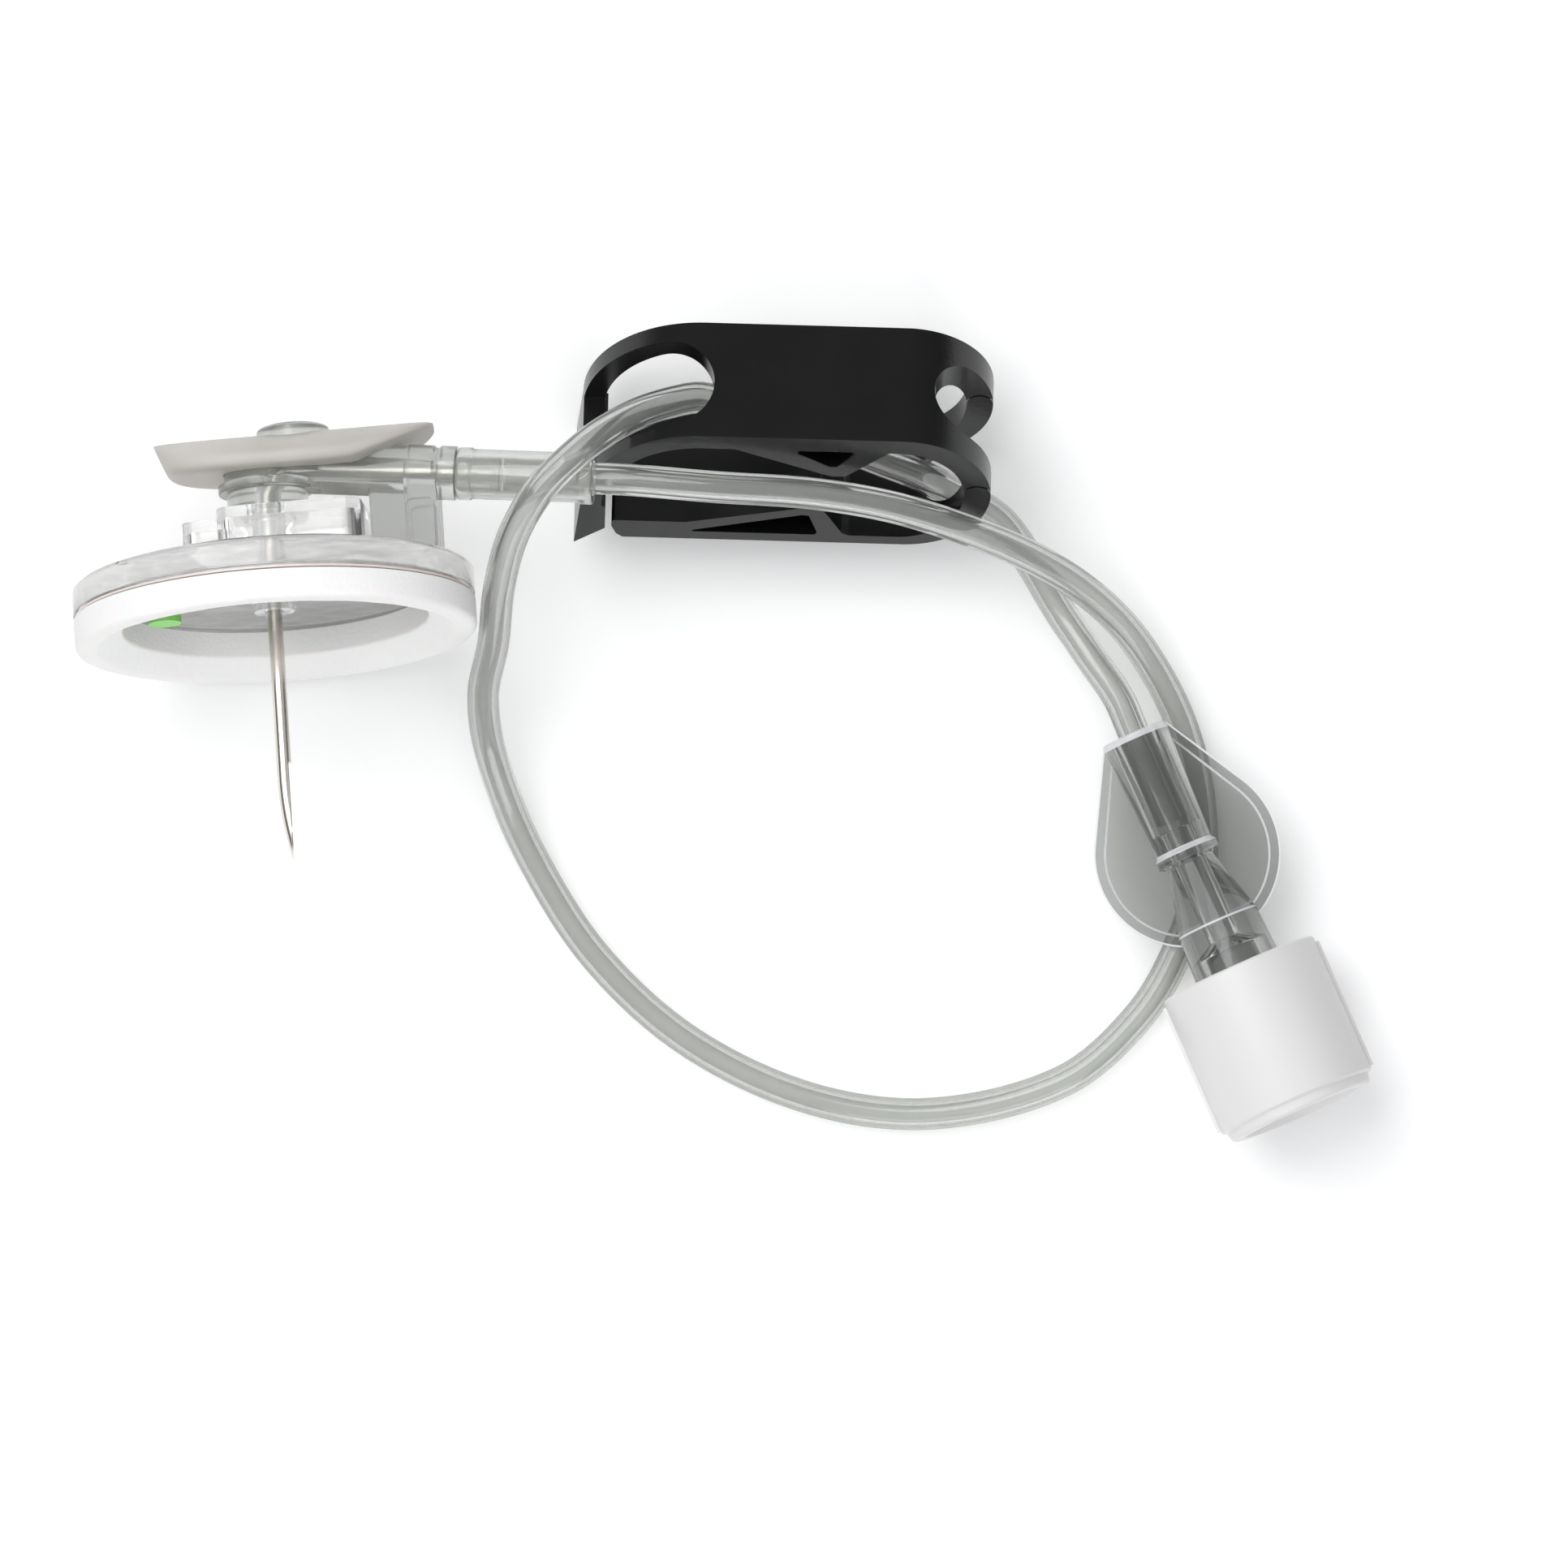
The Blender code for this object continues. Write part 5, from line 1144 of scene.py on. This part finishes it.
class NEEDLESET_OT_clamp(bpy.types.Operator):
    """The black pinch clamp: the frame with its latch post, and the lever"""
    bl_idname = "needleset.clamp"
    bl_label = "Pinch Clamp"

    def execute(self, context):
        settings = context.scene.needle_clamp
        black = solid_plastic("black clamp", settings.clamp_colour, roughness=0.24, grain=0.35, wave=0.05,
                              dark=0.7, scale=350.0)
        self.frame_half(settings, black)
        self.lever_half(settings, black)
        return {'FINISHED'}

    def slot(self, end, near, far, reach, side, low, high):
        """A slot with a round end, open towards +X or -X."""
        radius = (far - near) / 2
        turn = 90 if side > 0 else -90
        rim = arc((end + side * radius, (far + near) / 2), radius, radius, turn, turn + 180, 32)
        return extruded([(reach, rim[0][1])] + rim + [(reach, rim[-1][1])], low, high)

    def frame_half(self, settings, material):
        strip, outer = CLAMP_STRIP, CLAMP_HEIGHT / 2
        latch = (LATCH_BEND_X, -LATCH_BEND_RADIUS)
        post_x = LATCH_BEND_X - LATCH_BEND_RADIUS
        hinge_x, hinge_z = hinge_line()
        inner_x = HINGE_BEND_X - HINGE_INSET
        inner_reach = hinge_x - HINGE_STRIP / 2 - inner_x
        jaw = [(7.2 * MM, -strip), (4.1 * MM, -UPPER_JAW_DEPTH), (3.1 * MM, -UPPER_JAW_DEPTH),
               (-3.8 * MM, -strip)]
        tooth = [(post_x + strip, -8.9 * MM), (post_x + strip + 0.3 * MM, -9.05 * MM),
                 (post_x + strip + 0.3 * MM, -11.6 * MM)]
        outline = [(post_x - 0.4 * MM, -LATCH_DEPTH)]
        outline += arc(latch, LATCH_BEND_RADIUS, LATCH_BEND_RADIUS, 180, 90, 32)
        outline += arc((HINGE_BEND_X, hinge_z), outer, outer, 90, 0, 28)
        outline += arc((inner_x, hinge_z), inner_reach, outer - strip, 0, 90, 28)
        jaw = [(inner_x, -strip)] + jaw + [(-6 * MM, -strip)]
        outline += filleted(jaw, 0.35 * MM, closed=False)[1:-1]
        outline += arc(latch, LATCH_BEND_RADIUS - strip, LATCH_BEND_RADIUS - strip, 90, 180, 32)
        outline += tooth
        half = settings.width / 2
        clamp = mesh_piece("clamp_upper", extruded(outline, -half, half, 'Y'))
        pocket = filleted([(0.2 * MM, -strip), (4.9 * MM, -strip), (3.5 * MM, -3.35 * MM),
                           (3.0 * MM, -3.35 * MM)], 0.2 * MM, steps=3)
        knuckle = HINGE_STRIP / 2 + HINGE_GAP
        carve(clamp, cuts=[
            extruded(pocket, -half - MM, half + MM, 'Y'),
            self.slot(LATCH_SLOT_END, LATCH_SLOT_NEAR, LATCH_SLOT_FAR, reach=post_x - 2 * MM, side=-1,
                      low=LATCH_SLOT_FLOOR, high=MM),
            self.slot(HINGE_SLOT_END, -HINGE_SLOT_HALF_WIDTH, HINGE_SLOT_HALF_WIDTH,
                      reach=hinge_x + 2 * MM, side=1, low=hinge_z - MM, high=MM),
            extruded(circle((hinge_x, hinge_z), knuckle, 24), -half - MM, half + MM, 'Y')],
            edge=settings.edge)
        install(clamp, clamp_frame(), material, NEEDLE_SET, "clamp_frame", "black plastic")

    def lever_half(self, settings, material):
        outer = CLAMP_HEIGHT / 2
        hinge_x, hinge_z = hinge_line()
        bottom = -CLAMP_HEIGHT
        floor = bottom + LEVER_STRIP
        inner_x = HINGE_BEND_X - HINGE_INSET
        inner_reach = hinge_x - HINGE_STRIP / 2 - inner_x
        apex = -LOWER_JAW_DEPTH
        lip = [(inner_x, bottom), (LEVER_LEFT + 0.8 * MM, bottom),
               (LEVER_LEFT + 0.35 * MM, bottom + 0.4 * MM),
               (LEVER_LEFT, bottom + 1.3 * MM), (LEVER_LEFT, -LEVER_LIP_DEPTH),
               (LEVER_LEFT + 5.3 * MM, -LEVER_LIP_DEPTH), (1.4 * MM, apex), (2.4 * MM, apex),
               (2.95 * MM, apex - 0.9 * MM), (4.0 * MM, floor + 0.25 * MM), (4.5 * MM, floor),
               (inner_x, floor)]
        outline = arc((hinge_x, hinge_z), HINGE_STRIP / 2, HINGE_STRIP / 2, 180, 0, 16)
        outline += arc((HINGE_BEND_X, hinge_z), outer, outer, 0, -90, 28)[1:]
        outline += filleted(lip, 0.25 * MM, closed=False)[1:-1]
        outline += arc((inner_x, hinge_z), inner_reach, floor - hinge_z, 90, 0, 28)[:-1]
        half = settings.width / 2
        lever = mesh_piece("clamp_lower", extruded(outline, -half, half, 'Y'))
        pocket = filleted([
            (LEVER_LEFT + 5.7 * MM, floor + 0.15 * MM), (LEVER_LEFT + 5.9 * MM, floor), (2.05 * MM, floor),
            (2.2 * MM, floor + 0.3 * MM), (1.6 * MM, apex - 0.95 * MM), (1.1 * MM, apex - 0.9 * MM)],
            0.15 * MM, steps=3)
        carve(lever, cuts=[
            extruded(pocket, -half - MM, half + MM, 'Y'),
            self.slot(LEVER_SLOT_END, -HINGE_SLOT_HALF_WIDTH, HINGE_SLOT_HALF_WIDTH,
                      reach=hinge_x + 2 * MM, side=1, low=bottom - MM, high=hinge_z + 2 * MM)],
            edge=settings.edge)
        install(lever, clamp_frame(), material, CLAMP_LEVER, "clamp_lever", "black plastic")


class NEEDLESET_OT_luer(bpy.types.Operator):
    """The clear winged luer hub"""
    bl_idname = "needleset.luer"
    bl_label = "Luer Hub"

    def execute(self, context):
        settings = context.scene.needle_luer
        seat = SOCKET_RADIUS
        bore_start = HUB_LENGTH - LUER_DEPTH
        outer = [
            (seat, 0), (2.45 * MM, 0), (2.43 * MM, 0.5 * MM, 0), (2.1 * MM, SOCKET_LENGTH - 0.3 * MM),
            (HUB_FLANGE_RADIUS, SOCKET_LENGTH), (HUB_FLANGE_RADIUS, SOCKET_LENGTH + HUB_FLANGE_LENGTH),
            (1.7 * MM, SOCKET_LENGTH + 0.8 * MM), (2.97 * MM, HUB_CONE_END - 0.08 * MM),
            (3.0 * MM, HUB_CONE_END + 0.08 * MM), (HUB_END_RADIUS, CAP_START),
            (HUB_END_RADIUS, HUB_LENGTH - 1.0 * MM), (LUG_RADIUS, HUB_LENGTH - LUG_LENGTH),
            (LUG_RADIUS, HUB_LENGTH), (LUER_MOUTH_RADIUS, HUB_LENGTH),
            (LUER_ROOT_RADIUS, bore_start), (FLOW_RADIUS, bore_start - 0.8 * MM),
            (FLOW_RADIUS, SOCKET_DEPTH), (seat, SOCKET_DEPTH)]
        body = spun(filleted(outer, 0.14 * MM, steps=3), sides=HUB_SIDES)
        # Three narrow rings, at the socket's mouth, at the flange and at the end of the cone, take the
        # second material: painted highlight rings.
        for face in body.faces:
            level = face.calc_center_median().z
            rings = ((0, 0.5 * MM), (SOCKET_LENGTH - 0.35 * MM, SOCKET_LENGTH + 0.15 * MM),
                     (HUB_CONE_END - 0.09 * MM, HUB_CONE_END + 0.09 * MM))
            face.material_index = int(any(low <= level <= high for low, high in rings))
        hub = mesh_piece("luer_body", body)
        keep_out = spun([(0, -MM), (seat, -MM), (seat, SOCKET_DEPTH), (FLOW_RADIUS, SOCKET_DEPTH),
                         (FLOW_RADIUS, bore_start), (0, bore_start)], sides=HUB_SIDES)
        carve(hub, [self.wings(settings)], [keep_out])
        install(hub, luer_frame(),
                # The dark tint is partly the hub's own grey-green, partly painted shade for the surroundings
                # seen through it.
                clear_plastic("clear luer", settings.luer_tint_and_shade, roughness=0.1, wave=0.1, cloud=0.05),
                # The second material, a whiter clear plastic, is the painted highlight on the rings and the
                # wing outlines.
                NEEDLE_SET, "luer_hub", "clear plastic", painted_highlight_edge("luer edges painted highlight"))
        return {'FINISHED'}

    def wings(self, settings):
        """One teardrop plate, recessed inside a raised rim on both faces, with outlines in a whiter
        material: painted highlights.
        """
        root, centre = Vector((WING_ROOT, 0)), Vector((0, WING_REACH))
        flank = math.acos(settings.wing_radius / (root - centre).length)
        start = math.degrees(math.atan2(root.y - centre.y, root.x - centre.x) + flank)
        lobe = arc(centre, settings.wing_radius, settings.wing_radius, start, 180 - start, 96)
        outline = [tuple(root)] + lobe + [(-root.x, root.y)]
        low = -MM - settings.wing_thickness / 2
        bm = extruded(outline, low, low + settings.wing_thickness, 'Y')
        bmesh.ops.recalc_face_normals(bm, faces=bm.faces)
        for side in [face for face in bm.faces if abs(face.normal.y) > 0.9]:
            light = bmesh.ops.inset_region(bm, faces=[side], thickness=WING_HIGHLIGHT_LINE, depth=0)["faces"]
            bmesh.ops.inset_region(bm, faces=[side], thickness=WING_RIM, depth=0)
            step = bmesh.ops.inset_region(bm, faces=[side], thickness=WING_STEP, depth=-WING_RECESS)
            light += step["faces"]
            # The thin outer line and the step down into the recess take the second material: painted
            # highlight outlines.
            for face in light:
                face.material_index = 1
        return bm


class NEEDLESET_OT_cap(bpy.types.Operator):
    """The white screw cap with its ribs and inner cone"""
    bl_idname = "needleset.cap"
    bl_label = "Luer Cap"

    def execute(self, context):
        settings = context.scene.needle_luer
        radius = settings.cap_radius
        end = CAP_START + CAP_LENGTH
        side_end = end - CAP_STEP_LENGTH
        inside = radius - CAP_WALL
        roof = end - CAP_END_THICKNESS
        recess = end - CAP_RECESS_DEPTH
        cone_tip = CAP_START + 0.6 * MM
        taper = (LUER_MOUTH_RADIUS - LUER_ROOT_RADIUS) / LUER_DEPTH
        foot = LUER_MOUTH_RADIUS - (HUB_LENGTH - cone_tip) * taper - FIT_GAP
        crown = LUER_MOUTH_RADIUS - (HUB_LENGTH - roof) * taper - FIT_GAP
        profile = filleted([
            (0, cone_tip), (foot, cone_tip, 0.3 * MM), (crown, roof, 0.2 * MM), (inside, roof, 0.2 * MM),
            (inside, CAP_START, 0.3 * MM), (radius, CAP_START, 0.22 * MM), (radius, side_end, 0.12 * MM),
            (5.5 * MM, side_end + 0.15 * MM, 0.1 * MM), (5.35 * MM, end, 0.35 * MM),
            (CAP_RECESS_RADIUS, end, 0.15 * MM), (4.0 * MM, recess, 0.15 * MM),
            (CAP_CORE_RADIUS, recess, 0.1 * MM), (CAP_CORE_RADIUS, end - CAP_CORE_DEPTH, 0.1 * MM),
            (0, end - CAP_CORE_DEPTH)], 0.1 * MM, closed=False)
        cap = mesh_piece("screw_cap", spun(profile, sides=128))
        ribs = []
        for side in (1, -1):
            near, far = side * (radius - 0.3 * MM), side * (radius + CAP_RIB_STAND)
            ribs.append(extruded([(near, -0.3 * MM), (far, -0.2 * MM), (far, 0.2 * MM), (near, 0.3 * MM)],
                                 CAP_START + 0.5 * MM, side_end - 0.2 * MM))
        carve(cap, ribs)
        install(cap, luer_frame(),
                solid_plastic("white cap", settings.cap_colour, roughness=0.38, grain=0.35, wave=0.1,
                              dark=0.96, scale=120.0),
                LUER_CAP, "luer_cap", "white plastic")
        return {'FINISHED'}


class NEEDLESET_OT_lay(bpy.types.Operator):
    bl_idname = "needleset.lay"
    bl_label = "Line's Lay"

    def execute(self, context):
        return {'FINISHED'}


class NEEDLESET_PT_panel(bpy.types.Panel):
    """The needle set's steps and sizes"""
    bl_idname = "NEEDLESET_PT_panel"
    bl_label = "Needle Set"
    bl_space_type = 'VIEW_3D'
    bl_region_type = 'UI'
    bl_category = "Needle Set"

    def draw(self, context):
        for operator in OPERATORS:
            self.layout.operator(operator.bl_idname)
        for name, group in SETTINGS.items():
            column = self.layout.column()
            for prop in group.__annotations__:
                column.prop(getattr(context.scene, name), prop)


SETTINGS = {
    "needle_stage": StageSettings, "needle_tube": TubeSettings, "needle_shield": ShieldSettings,
    "needle_cannula": NeedleSettings, "needle_grip": GripSettings, "needle_clamp": ClampSettings,
    "needle_luer": LuerSettings,
}
OPERATORS = (
    NEEDLESET_OT_stage, NEEDLESET_OT_line, NEEDLESET_OT_shield, NEEDLESET_OT_needle, NEEDLESET_OT_grip,
    NEEDLESET_OT_clamp, NEEDLESET_OT_luer, NEEDLESET_OT_cap, NEEDLESET_OT_lay,
)


def register():
    for group in (*SETTINGS.values(), *OPERATORS, NEEDLESET_PT_panel):
        bpy.utils.register_class(group)
    for name, group in SETTINGS.items():
        setattr(bpy.types.Scene, name, PointerProperty(type=group))


def unregister():
    for name in SETTINGS:
        delattr(bpy.types.Scene, name)
    for group in (*SETTINGS.values(), *OPERATORS, NEEDLESET_PT_panel):
        bpy.utils.unregister_class(group)


def main():
    register()
    bpy.ops.needleset.stage()
    bpy.ops.needleset.line()
    bpy.ops.needleset.shield()
    bpy.ops.needleset.needle()
    bpy.ops.needleset.grip()
    bpy.ops.needleset.clamp()
    bpy.ops.needleset.luer()
    bpy.ops.needleset.cap()
    bpy.ops.needleset.lay()


if __name__ == "__main__":
    main()
